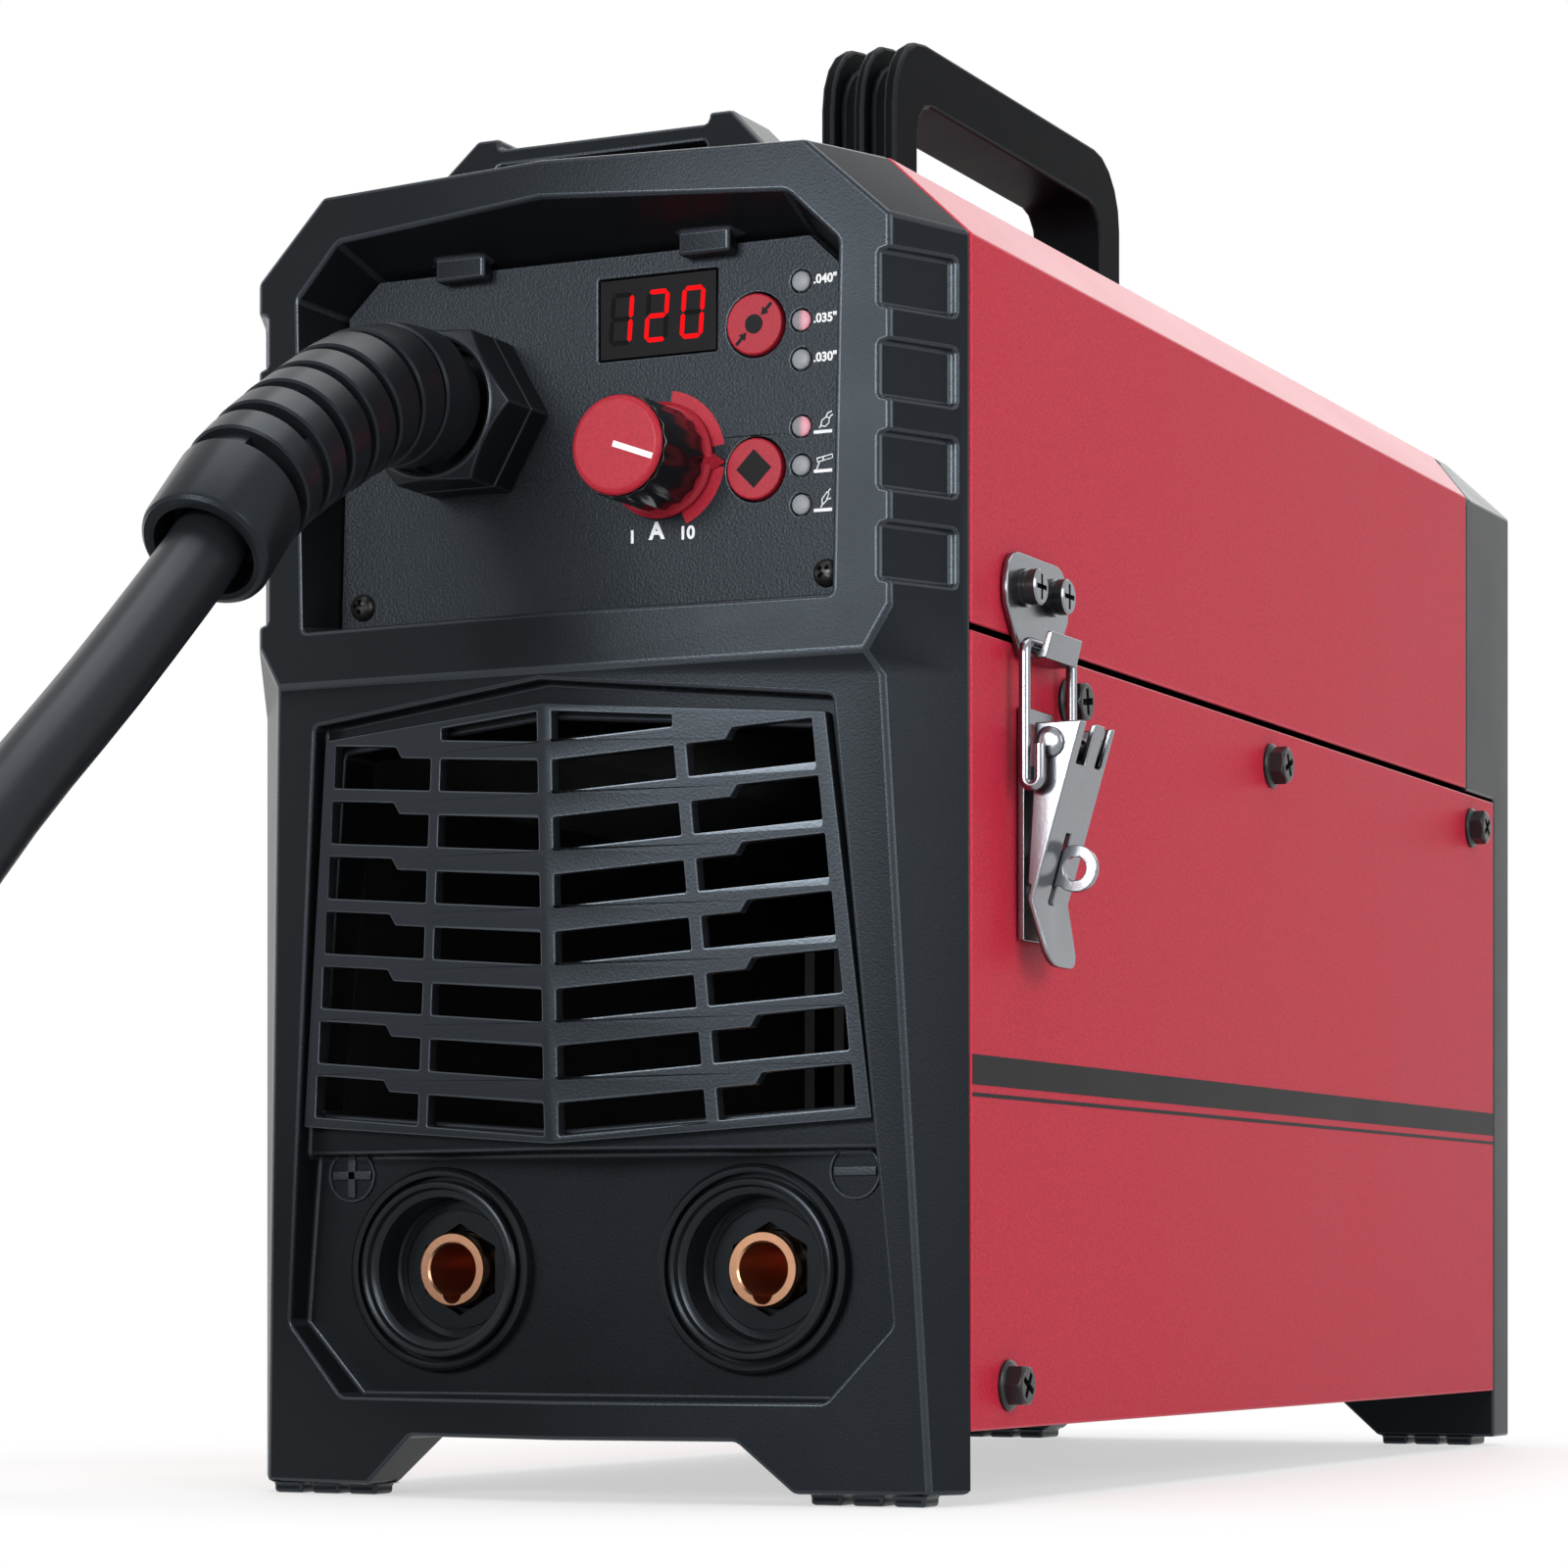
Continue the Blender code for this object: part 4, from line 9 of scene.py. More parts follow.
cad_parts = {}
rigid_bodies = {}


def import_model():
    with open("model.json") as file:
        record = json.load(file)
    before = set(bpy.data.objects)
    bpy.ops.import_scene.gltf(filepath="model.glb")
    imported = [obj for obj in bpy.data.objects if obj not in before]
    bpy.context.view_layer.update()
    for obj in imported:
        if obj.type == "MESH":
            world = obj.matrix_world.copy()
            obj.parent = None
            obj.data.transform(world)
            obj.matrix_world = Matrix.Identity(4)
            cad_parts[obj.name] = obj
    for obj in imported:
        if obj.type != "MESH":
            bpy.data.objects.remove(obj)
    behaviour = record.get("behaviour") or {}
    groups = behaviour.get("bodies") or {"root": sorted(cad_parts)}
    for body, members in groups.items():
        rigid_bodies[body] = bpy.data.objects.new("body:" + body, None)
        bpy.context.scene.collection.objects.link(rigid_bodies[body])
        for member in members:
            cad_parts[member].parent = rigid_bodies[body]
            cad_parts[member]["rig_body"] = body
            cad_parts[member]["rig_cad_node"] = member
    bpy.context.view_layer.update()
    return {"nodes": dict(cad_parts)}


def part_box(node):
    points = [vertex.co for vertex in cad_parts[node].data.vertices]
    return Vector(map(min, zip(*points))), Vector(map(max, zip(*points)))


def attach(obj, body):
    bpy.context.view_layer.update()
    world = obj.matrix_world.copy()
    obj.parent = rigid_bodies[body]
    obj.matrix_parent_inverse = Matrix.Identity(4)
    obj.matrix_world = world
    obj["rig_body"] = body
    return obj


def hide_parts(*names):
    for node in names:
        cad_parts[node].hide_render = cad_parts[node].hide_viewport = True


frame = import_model()
print("frame loaded:", len(frame["nodes"]), "nodes")

panelLow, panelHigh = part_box("control_panel")
midX = (panelLow.x + panelHigh.x) / 2  # middle plane of the case
faceY = panelLow.y  # face of the control panel
forward = Vector((0, -1, 0))
rightward = Vector((1, 0, 0))
leftward = Vector((-1, 0, 0))
rearward = Vector((0, 1, 0))
upward = Vector((0, 0, 1))
sides = (("right", rightward, 1), ("left", leftward, -1))


def at(x, y, z):  # millimetres from the middle plane, the panel's face and the floor
    return Vector((midX + x / 1000, faceY + y / 1000, z / 1000))


# working habits: select one piece, edit it, apply what was added

def selectNone():
    bpy.ops.object.select_all(action="DESELECT")


def only(piece):
    selectNone()
    piece.select_set(True)
    bpy.context.view_layer.objects.active = piece


def selectAll(action="SELECT"):
    bpy.ops.mesh.select_all(action=action)


def editAll(piece):
    only(piece)
    bpy.ops.object.mode_set(mode="EDIT")
    selectAll()


def leaveEdit():
    bpy.ops.object.mode_set(mode="OBJECT")


def pull(way):  # extrudes what is selected, in metres
    bpy.ops.mesh.extrude_region_move(TRANSFORM_OT_translate={"value": way})


def weld(micrometres):
    selectAll()
    bpy.ops.mesh.remove_doubles(threshold=micrometres / 1e6)


def closeUp():  # turns every face outward and leaves edit mode
    selectAll()
    bpy.ops.mesh.normals_make_consistent(inside=False)
    leaveEdit()


def applyModifier(piece, kind, **settings):
    only(piece)
    modifier = piece.modifiers.new(kind.lower(), kind)
    for key, value in settings.items():
        setattr(modifier, key, value)
    bpy.ops.object.modifier_apply(modifier=modifier.name)


def applyPlace(piece):
    only(piece)
    bpy.ops.object.transform_apply(location=True, rotation=True, scale=True)


def smoothShade(piece, angle=38):
    only(piece)
    bpy.ops.object.shade_smooth_by_angle(angle=radians(angle))


def roundEdges(piece, width, segments=2, angle=32, edgeSlot=-1):  # width in millimetres
    applyModifier(piece, "BEVEL", width=width / 1000, segments=segments, limit_method="ANGLE",
                  material=edgeSlot, angle_limit=radians(angle), use_clamp_overlap=False,
                  miter_outer="MITER_ARC")
    smoothShade(piece)
    applyModifier(piece, "WEIGHTED_NORMAL", keep_sharp=True)


def discard(piece):
    bpy.data.objects.remove(piece, do_unlink=True)


def carve(piece, tool, operation="DIFFERENCE"):
    applyModifier(piece, "BOOLEAN", operation=operation, object=tool, solver="EXACT")
    discard(tool)


def joined(name, pieces):
    only(pieces[0])
    for piece in pieces[1:]:
        piece.select_set(True)
    bpy.ops.object.join()
    pieces[0].name = name
    return pieces[0]


def linked(piece):
    bpy.context.scene.collection.objects.link(piece)
    return piece


def twin(pattern, name):
    piece = pattern.copy()
    piece.data = pattern.data.copy()
    piece.name = name
    return linked(piece)


def copyTo(pattern, name, place, axis, turn):
    # a twin of a piece drawn at the origin, its own up along the axis
    piece = twin(pattern, name)
    facing = axis.to_track_quat("Z", "Y") @ Quaternion((0, 0, 1), radians(turn))
    piece.rotation_euler = facing.to_euler()
    piece.location = place
    applyPlace(piece)
    return piece


def coat(piece, finish):
    piece.data.materials.clear()
    piece.data.materials.append(surfaces[finish])


def dress(piece, finish, body="case"):
    coat(piece, finish)
    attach(piece, body)
    return piece


# drawing by hand: a line of points, a filled plate, a turned body, a wire, words

def newMesh(add, name, place=(0, 0, 0), **settings):
    selectNone()
    add(location=place, **settings)
    piece = bpy.context.object
    piece.name = name
    applyPlace(piece)
    return piece


def drawLine(name, points):
    # one vertex, extruded from place to place; left in edit mode
    piece = newMesh(bpy.ops.mesh.primitive_plane_add, name, points[0], size=0.001)
    editAll(piece)
    bpy.ops.mesh.merge(type="CENTER")
    for first, second in zip(points, points[1:]):
        pull(second - first)
    selectAll()
    return piece


def plate(name, points, thickness):  # thickness is a direction in millimetres
    piece = drawLine(name, points)
    bpy.ops.mesh.edge_face_add()
    pull(thickness / 1000)
    closeUp()
    return piece


def oblong(left, right, low, high):
    return ((left, low), (right, low), (right, high), (left, high))


def barPlate(name, middle, reach, half, thickness):
    corners = [middle - reach - half, middle + reach - half, middle + reach + half, middle - reach + half]
    return plate(name, corners, thickness)


def turned(name, section, middle, axis, steps=48, angle=35):
    # a section of (distance along the axis, radius) in millimetres, spun round the axis
    axis = axis.normalized()
    side = axis.orthogonal().normalized()
    points = [Vector(middle) + axis * along / 1000 + side * radius / 1000 for along, radius in section]
    piece = drawLine(name, points)
    bpy.ops.mesh.spin(steps=steps, angle=2 * pi, center=middle, axis=axis)
    weld(4)
    closeUp()
    smoothShade(piece, angle)
    return piece


def ring(middle, radius, first, last, count, across=rightward, up=upward):
    # points on an arc, angles in degrees from across towards up
    points = []
    for i in range(count + 1):
        angle = radians(first + (last - first) * i / count)
        points.append(middle + (across * cos(angle) + up * sin(angle)) * radius / 1000)
    return points


def hexagon(middle, corner, first=0, up=upward):
    return ring(middle, corner, first, first + 300, 5, up=up)


def circle(middle, radius):
    return ring(middle, radius, 0, 345, 23)


def faceWay(degrees):
    # a direction on the panel's face, turned from the right towards the top, and the one across it
    along = rightward * cos(radians(degrees)) + upward * sin(radians(degrees))
    return along, Vector((-along.z, 0, along.x))


def wire(name, points, radius, steps=6):
    path = bpy.data.curves.new(name, "CURVE")
    path.dimensions = "3D"
    path.bevel_depth = radius / 1000
    path.bevel_resolution = steps
    path.use_fill_caps = True
    spline = path.splines.new("POLY")
    spline.points.add(len(points) - 1)
    for point, place in zip(spline.points, points):
        point.co = (*place, 1)
    spline.use_smooth = True
    return linked(bpy.data.objects.new(name, path))


def asMesh(piece):
    only(piece)
    bpy.ops.object.convert(target="MESH")
    return piece


def lettering(name, words, place, height, bold=0.035):
    # raised print on the panel's face; its capitals are 0.69 of the type's size
    typeSize = height / 690
    selectNone()
    bpy.ops.object.text_add(location=place, rotation=(radians(90), 0, 0))
    piece = bpy.context.object
    piece.name = name
    piece.data.body = words
    piece.data.size = typeSize
    piece.data.offset = bold * typeSize
    piece.data.extrude = 0.00004
    piece.data.align_x = "CENTER"
    piece.data.align_y = "CENTER"
    asMesh(piece)
    applyPlace(piece)
    return piece


# shared effects, as node groups

def fill(node, values):
    for label, value in values.items():
        node.inputs[label].default_value = value


def newNode(tree, kind, values=None):
    node = tree.nodes.new("ShaderNode" + kind)
    fill(node, values or {})
    return node


def connect(first, output, second, entry):
    first.id_data.links.new(first.outputs[output], second.inputs[entry])


def mathNode(tree, operation, first, second, clamp=False):
    node = newNode(tree, "Math")
    node.operation = operation
    node.use_clamp = clamp
    for socket, value in zip(node.inputs, (first, second)):
        if isinstance(value, (int, float)):
            socket.default_value = value
        else:
            tree.links.new(value, socket)
    return node.outputs[0]


def newGroup(name, inputs, outputs):
    group = bpy.data.node_groups.new(name, "ShaderNodeTree")
    for label, value in inputs.items():
        kind = "NodeSocketColor" if isinstance(value, tuple) else "NodeSocketFloat"
        socket = group.interface.new_socket(label, in_out="INPUT", socket_type=kind)
        socket.default_value = value
    for label, kind in outputs.items():
        group.interface.new_socket(label, in_out="OUTPUT", socket_type=kind)
    return group, group.nodes.new("NodeGroupInput"), group.nodes.new("NodeGroupOutput")


def makeGrain():
    # fine moulded texture as one height, turned into a normal, with its mask for specks
    group, start, end = newGroup("mouldedGrain", {"Scale": 1500, "Strength": 0.2, "Depth": 0.0001},
                                 {"Normal": "NodeSocketVector", "Mask": "NodeSocketFloat"})
    place = newNode(group, "TexCoord")
    fine = newNode(group, "TexNoise", {"Detail": 2, "Roughness": 0.55})
    bump = newNode(group, "Bump")
    connect(place, "Object", fine, "Vector")
    connect(start, "Scale", fine, "Scale")
    connect(start, "Strength", bump, "Strength")
    connect(start, "Depth", bump, "Distance")
    connect(fine, "Fac", bump, "Height")
    connect(bump, "Normal", end, "Normal")
    connect(fine, "Fac", end, "Mask")
    return group


def makeHandled():
    # slow drift of tone and gloss over a surface, and specks where the grain stands up
    group, start, end = newGroup(
        "handledTone",
        {"Color": (0.5, 0.5, 0.5, 1), "Roughness": 0.5, "Drift": 0.1, "Scale": 40, "Speck": 0, "Mask": 0.5},
        {"Color": "NodeSocketColor", "Roughness": "NodeSocketFloat"})
    place = newNode(group, "TexCoord")
    cloud = newNode(group, "TexNoise", {"Detail": 4})
    connect(place, "Object", cloud, "Vector")
    connect(start, "Scale", cloud, "Scale")

    def swung(source, amount):  # goes either side of zero
        return mathNode(group, "MULTIPLY", mathNode(group, "SUBTRACT", source, 0.5), start.outputs[amount])

    swing = swung(cloud.outputs["Fac"], "Drift")
    speck = swung(start.outputs["Mask"], "Speck")
    rough = mathNode(group, "ADD", start.outputs["Roughness"], swing, clamp=True)
    tone = mathNode(group, "ADD", mathNode(group, "ADD", swing, speck), 1)
    shade = newNode(group, "VectorMath")
    shade.operation = "SCALE"
    connect(start, "Color", shade, 0)
    group.links.new(tone, shade.inputs["Scale"])
    connect(shade, 0, end, "Color")
    group.links.new(rough, end.inputs["Roughness"])
    return group


grainGroup = makeGrain()
handledGroup = makeHandled()


def newSurface(name):
    surface = bpy.data.materials.new(name)
    surface.use_nodes = True
    return surface, surface.node_tree, surface.node_tree.nodes["Principled BSDF"]


def placedGroup(tree, group, values):
    node = newNode(tree, "Group")
    node.node_tree = group
    fill(node, values)
    return node


def grained(name, look):
    # colour, gloss and grain of one finish, from its own row of settings
    surface, tree, shader = newSurface(name)
    grain = placedGroup(tree, grainGroup, {"Scale": look["grain"], "Strength": look["bump"]})
    tone = placedGroup(tree, handledGroup, {
        "Color": (*look["colour"], 1), "Roughness": look["roughness"], "Drift": look["drift"],
        "Scale": look["cloud"], "Speck": look["speck"]})
    connect(grain, "Mask", tone, "Mask")
    connect(tone, "Color", shader, "Base Color")
    connect(tone, "Roughness", shader, "Roughness")
    connect(grain, "Normal", shader, "Normal")
    fill(shader, {"Metallic": look["metallic"], "Specular IOR Level": look["specular"],
                  "Specular Tint": (*look["sheen"], 1)})
    return surface


plain = {"speck": 0.2, "specular": 0.5, "metallic": 0, "cloud": 40, "sheen": (1, 1, 1)}
# a blue tint painted into the reflections of the dark plastics and rubber, standing for the light's cool
# cast
coolReflectionTint = {"sheen": (0.74, 0.87, 1)}
metal = {"metallic": 1}


def paint(colour, roughness, grain, bump, drift, **more):
    return dict(plain, colour=colour, roughness=roughness, grain=grain, bump=bump, drift=drift, **more)


finishes = dict(
    bezelPlastic=paint((0.005, 0.0056, 0.0068), 0.32, 2400, 0.3, 0.14, speck=0.6, specular=0.14, **coolReflectionTint),
    grillePlastic=paint((0.01, 0.0115, 0.014), 0.34, 2200, 0.4, 0.12, speck=0.8, specular=0.23, **coolReflectionTint),
    panelPlastic=paint((0.011, 0.0125, 0.015), 0.37, 2000, 0.9, 0.1, speck=1.6, specular=0.21, **coolReflectionTint),
    handlePlastic=paint((0.005, 0.006, 0.007), 0.42, 1800, 0.35, 0.12, speck=0.6, specular=0.01),
    glossPlastic=paint((0.006, 0.006, 0.007), 0.18, 900, 0.02, 0.05, specular=0.35),
    redPlastic=paint((0.31, 0.014, 0.027), 0.4, 2200, 0.15, 0.08, speck=0.7, specular=0.18),
    redPaint=paint((0.43, 0.02, 0.042), 0.4, 2000, 0.22, 0.08, cloud=18, speck=1.1, specular=0.06),
    # a glossier, darker copy of the red paint, for the painted highlight on the lid's chamfer
    redPaintHighlight=paint((0.38, 0.02, 0.042), 0.33, 2000, 0.18, 0.08, cloud=18, speck=0.9, specular=0.34),
    # near black for the faces inside the case, as painted shade
    insidePaintedShade=paint((0.02, 0.02, 0.022), 0.6, 1500, 0.2, 0.12, specular=0.2),
    rubberHose=paint((0.009, 0.01, 0.012), 0.34, 1500, 0.1, 0.16, specular=0.18, **coolReflectionTint),
    ribbedRubber=paint((0.007, 0.008, 0.01), 0.31, 1900, 0.22, 0.14, specular=0.17, **coolReflectionTint),
    brightPlate=paint((0.24, 0.25, 0.27), 0.24, 1600, 0.1, 0.12, **metal),
    chromePlate=paint((0.44, 0.45, 0.47), 0.15, 1600, 0.03, 0.1, **metal),
    rearPaint=paint((0.02, 0.021, 0.024), 0.48, 1300, 0.35, 0.12, speck=0.8, specular=0.2),
    zincPlate=paint((0.42, 0.43, 0.44), 0.36, 700, 0.06, 0.25, cloud=120, **metal),
    # black oxide on the screws; also painted as shade on latch faces that stand in shadow
    blackOxideAndShade=paint((0.01, 0.01, 0.011), 0.28, 900, 0.06, 0.15, specular=0.35),
    copperMetal=paint((0.62, 0.33, 0.2), 0.22, 1200, 0.03, 0.12, **metal),
    # a darker copy of the copper for the contacts' bores, as painted shade
    copperBoreShade=paint((0.36, 0.11, 0.05), 0.36, 1200, 0.08, 0.3, metallic=0.9),
    socketPlastic=paint((0.006, 0.007, 0.008), 0.25, 1600, 0.05, 0.1, specular=0.2, **coolReflectionTint),
    # anodising darkened to near black as painted shade for the inside seen through the grille slots
    blackAnodisedShade=paint((0.012, 0.012, 0.013), 0.45, 1500, 0.06, 0.15, specular=0.08),
    drawnAluminium=paint((0.66, 0.67, 0.69), 0.38, 1500, 0.06, 0.15, **metal),
    boardGreen=paint((0.015, 0.1, 0.035), 0.42, 1500, 0.1, 0.2),
    windingWire=paint((0.5, 0.2, 0.08), 0.3, 900, 0.5, 0.2, metallic=0.7),
    whitePrint=paint((0.72, 0.73, 0.75), 0.5, 2400, 0.1, 0.06, specular=0.2),
    redPrint=paint((0.36, 0.014, 0.03), 0.46, 2200, 0.3, 0.1, speck=0.8, specular=0.2),
    blackPrint=paint((0.006, 0.006, 0.007), 0.42, 2400, 0.1, 0.1, specular=0.08),
    darkWindow=paint((0.005, 0.005, 0.006), 0.36, 1200, 0.02, 0.06, specular=0.06),
    segmentOff=paint((0.0015, 0.0015, 0.0015), 0.4, 1200, 0.02, 0.06, specular=0.04),
    lensGrey=paint((0.2, 0.21, 0.23), 0.5, 2600, 0.3, 0.1, speck=0.4),
    strapCloth=paint((0.013, 0.013, 0.014), 0.85, 2600, 0.8, 0.2, speck=0.8, specular=0.2))
# painted highlight on the rounded edges: paler, smoother and shinier copies of the finishes, laid on the
# bevel faces
paintedEdgeHighlight = dict(bezelPlastic=2.4, grillePlastic=2.2, panelPlastic=2, handlePlastic=3, redPaint=1.12)
edgeHighlightSmoother = 0.04
edgeHighlightShinier = 2.8
for name, lift in paintedEdgeHighlight.items():
    edge = dict(finishes[name])
    edge["colour"] = tuple(min(1, value * lift) for value in edge["colour"])
    edge["roughness"] -= edgeHighlightSmoother
    edge["specular"] *= edgeHighlightShinier
    finishes[name + "Edge"] = edge
surfaces = {name: grained(name, look) for name, look in finishes.items()}


# lit digits and lamps; a lamp glows only right of a line, in metres from the middle plane
glows = dict(
    segmentOn=dict(colour=(0.2, 0.002, 0.002), glow=(1, 0.006, 0.01), strength=0.9, roughness=0.3,
                   specular=0),
    lensLit=dict(colour=(0.2, 0.19, 0.21), glow=(1, 0.22, 0.3), strength=0.5, roughness=0.46,
                 specular=0.3, lit=(0.0402, 0.0411)))
glowCloud = 900
glowDrift = 0.06


def glowing(name, look):
    surface, tree, shader = newSurface(name)
    fill(shader, {"Base Color": (*look["colour"], 1), "Emission Color": (*look["glow"], 1),
                  "Emission Strength": look["strength"], "Specular IOR Level": look["specular"]})
    cloud = newNode(tree, "TexNoise", {"Scale": glowCloud})
    place = newNode(tree, "TexCoord")
    ramp = newNode(tree, "MapRange", {"To Min": look["roughness"] - glowDrift,
                                      "To Max": look["roughness"] + glowDrift})
    connect(place, "Object", cloud, "Vector")
    connect(cloud, "Fac", ramp, "Value")
    connect(ramp, "Result", shader, "Roughness")
    if "lit" in look:
        first, last = look["lit"]
        split = newNode(tree, "SeparateXYZ")
        glow = newNode(tree, "MapRange", {"From Min": midX + first, "From Max": midX + last,
                                          "To Max": look["strength"]})
        connect(place, "Object", split, "Vector")
        connect(split, "X", glow, "Value")
        connect(glow, "Result", shader, "Emission Strength")
    return surface


for name, look in glows.items():
    surfaces[name] = glowing(name, look)
print("finishes made:", len(surfaces))


def softened(nodeName, finish, width, segments=2, angle=32, flatten=True, cuts=()):
    # a copy of a solid, cut and then rounded at its edges, standing for it
    node = frame["nodes"][nodeName]
    piece = twin(node, nodeName + "_skin")
    piece.parent = None
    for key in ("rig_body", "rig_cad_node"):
        del piece[key]
    editAll(piece)
    weld(2)
    if flatten:
        bpy.ops.mesh.dissolve_limited(angle_limit=radians(1))
    leaveEdit()
    for tool in cuts:
        carve(piece, tool)
    dress(piece, finish, node["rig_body"])
    edgeSlot = -1
    # a finish with a painted edge highlight puts its paler, shinier copy on the bevel faces
    if finish in paintedEdgeHighlight:
        piece.data.materials.append(surfaces[finish + "Edge"])
        edgeSlot = 1
    roundEdges(piece, width, segments, angle, edgeSlot)
    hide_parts(nodeName)
    return piece


def darken(piece, finish, chosen):
    # gives the faces for which chosen(middle, normal) holds another finish; the script uses it for painted
    # shade and for the painted highlight on the lid's chamfer
    piece.data.materials.append(surfaces[finish])
    index = len(piece.data.materials) - 1
    for face in piece.data.polygons:
        if chosen(face.center, face.normal):
            face.material_index = index


# camera, light and floor

view = dict(place=(363.2, -679, 38.3), turn=25.64, lens=102.3, lift=0.315)


def makeCamera():
    lens = bpy.data.cameras.new("photoView")
    lens.lens = view["lens"]
    lens.sensor_width = 36
    lens.shift_y = view["lift"]
    lens.clip_start = 0.01
    camera = linked(bpy.data.objects.new("photoView", lens))
    camera.location = at(*view["place"])
    camera.rotation_euler = (radians(90), 0, radians(view["turn"]))
    bpy.context.scene.camera = camera


# place, aim, size in metres and power
lamps = dict(
    frontKey=((-60, -1380, 430), (0, 0, 150), (0.9, 0.32), 18),
    sideKey=((1350, -380, 560), (69, 120, 120), (0.8, 0.8), 9),
    topSoft=((60, 150, 1350), (0, 150, 0), (1, 1), 10),
    leftFill=((-1350, 300, 520), (-60, 100, 120), (1, 1), 4),
    rearFill=((-300, 1500, 600), (0, 300, 120), (1.2, 1.2), 5))


def makeLamps():
    for name, (place, aim, size, power) in lamps.items():
        light = bpy.data.lights.new(name, "AREA")
        light.shape = "RECTANGLE"
        light.size, light.size_y = size
        light.energy = power
        piece = linked(bpy.data.objects.new(name, light))
        piece.location = at(*place)
        piece.rotation_euler = (at(*aim) - piece.location).to_track_quat("-Z", "Y").to_euler()


studio = dict(fill=0.28, seen=1, floorTone=(0.9, 0.9, 0.9, 1), floorRough=0.6, floorGloss=0.1,
              middle=(0, 150, 0), paleFrom=0.15, paleTo=0.25, paleNear=0.5)


def seenDirectly(tree):
    # one where the camera, a reflection or clear glass looks straight at it
    path = newNode(tree, "LightPath")
    glossy = mathNode(tree, "MAXIMUM", path.outputs["Is Glossy Ray"], path.outputs["Is Transmission Ray"])
    return mathNode(tree, "MAXIMUM", path.outputs["Is Camera Ray"], glossy)


def makeWorld():
    world = bpy.data.worlds.new("studio")
    bpy.context.scene.world = world
    world.use_nodes = True
    tree = world.node_tree
    sky = tree.nodes["Background"]
    fill(sky, {"Color": (1, 1, 1, 1)})
    level = newNode(tree, "MapRange", {"To Min": studio["fill"], "To Max": studio["seen"]})
    tree.links.new(seenDirectly(tree), level.inputs["Value"])
    connect(level, "Result", sky, "Strength")


def makeFloor():
    floor = newMesh(bpy.ops.mesh.primitive_plane_add, "floor", size=8)
    floor.location = at(*studio["middle"])
    surface, tree, shader = newSurface("paleFloor")
    fill(shader, {"Base Color": studio["floorTone"], "Roughness": studio["floorRough"],
                  "Specular IOR Level": studio["floorGloss"]})
    # the floor turns as pale as the backdrop away from the machine, and keeps its shadow near it
    place = newNode(tree, "TexCoord")
    reach = newNode(tree, "VectorMath")
    reach.operation = "LENGTH"
    connect(place, "Object", reach, 0)
    far = newNode(tree, "MapRange", {"From Min": studio["paleFrom"], "From Max": studio["paleTo"],
                                     "To Min": studio["paleNear"]})
    connect(reach, "Value", far, "Value")
    pale = newNode(tree, "Emission")
    mix = newNode(tree, "MixShader")
    tree.links.new(mathNode(tree, "MULTIPLY", far.outputs["Result"], seenDirectly(tree)), mix.inputs["Fac"])
    connect(shader, "BSDF", mix, 1)
    connect(pale, "Emission", mix, 2)
    connect(mix, "Shader", tree.nodes["Material Output"], "Surface")
    floor.data.materials.append(surface)


makeCamera()
makeLamps()
makeWorld()
makeFloor()
bpy.context.scene.view_settings.view_transform = "Standard"
print("camera, light and floor set")


# torch cable: its route is the solid's, then the turns of the coil

cable = dict(
    radius=6.2, coilMiddle=(-125, -166), turnStep=0.025, perLeg=3,
    boot=[(-22.9, -16.5, 188), (-22.9, -26, 188), (-22.9, -38.5, 184.8), (-22.9, -51.5, 178.2),
          (-22.9, -65, 170.5), (-22.9, -76.4, 162.3), (-22.9, -86.4, 152.2)],
    fall=[(-22.9, -86.9, 151.7), (-22.9, -113, 129), (-23, -140, 106.8), (-24, -163, 83.5),
          (-28, -182, 57.5), (-36.5, -200.5, 34.5), (-48.5, -218, 18), (-62.5, -231.5, 9.6),
          (-78, -239, 7.4)],
    # place along the turns, radius and height of the cable's middle
    turns=[(-0.03, 77.5, 7.2), (0.03, 74.4, 7.2), (0.1, 73.7, 7.2), (0.8, 73.7, 7.2), (0.85, 71.7, 7.2),
           (0.9, 67.5, 7.2), (0.95, 63.1, 7.2), (1, 61.2, 7.2), (1.75, 61.2, 7.2), (1.8, 60.8, 7.8),
           (1.85, 59.4, 10.6), (1.9, 57.6, 15.6), (1.95, 58.8, 19.2), (2, 61, 19.8),
           (2.72, 61.2, 19.8), (2.78, 63.4, 19.8), (2.825, 67.5, 19.8), (2.87, 71.6, 19.8),
           (2.93, 73.7, 19.8), (3.55, 73.7, 19.8), (3.65, 73.7, 21.4), (3.75, 73.7, 26),
           (3.8, 73.2, 29.4), (3.85, 72.4, 32.4), (3.95, 71, 35.2), (4.05, 69.6, 37.6),
           (4.15, 68.3, 39.2), (4.245, 67.7, 39.5)])


def smoothThrough(points, perLeg):
    knots = [Vector(p) for p in points]
    padded = [2 * knots[0] - knots[1], *knots, 2 * knots[-1] - knots[-2]]
    route = []
    for leg in range(len(knots) - 1):
        a, b, c, d = padded[leg:leg + 4]
        for i in range(perLeg):
            t = i / perLeg
            curve = (2 * a - 5 * b + 4 * c - d) * t ** 2 + (3 * b - a - 3 * c + d) * t ** 3
            route.append(0.5 * (2 * b + (c - a) * t + curve))
    route.append(knots[-1])
    return route


def coilPoint(turn, radius, height):
    angle = 2 * pi * turn
    middle = cable["coilMiddle"]
    return at(middle[0] - radius * sin(angle), middle[1] - radius * cos(angle), height)


def between(turn):
    # radius and height at one place along the turns, from mark to mark
    marks = cable["turns"]
    for first, second in zip(marks, marks[1:]):
        if turn <= second[0]:
            t = (turn - first[0]) / (second[0] - first[0])
            return [a + (b - a) * t for a, b in zip(first[1:], second[1:])]
    return marks[-1][1:]


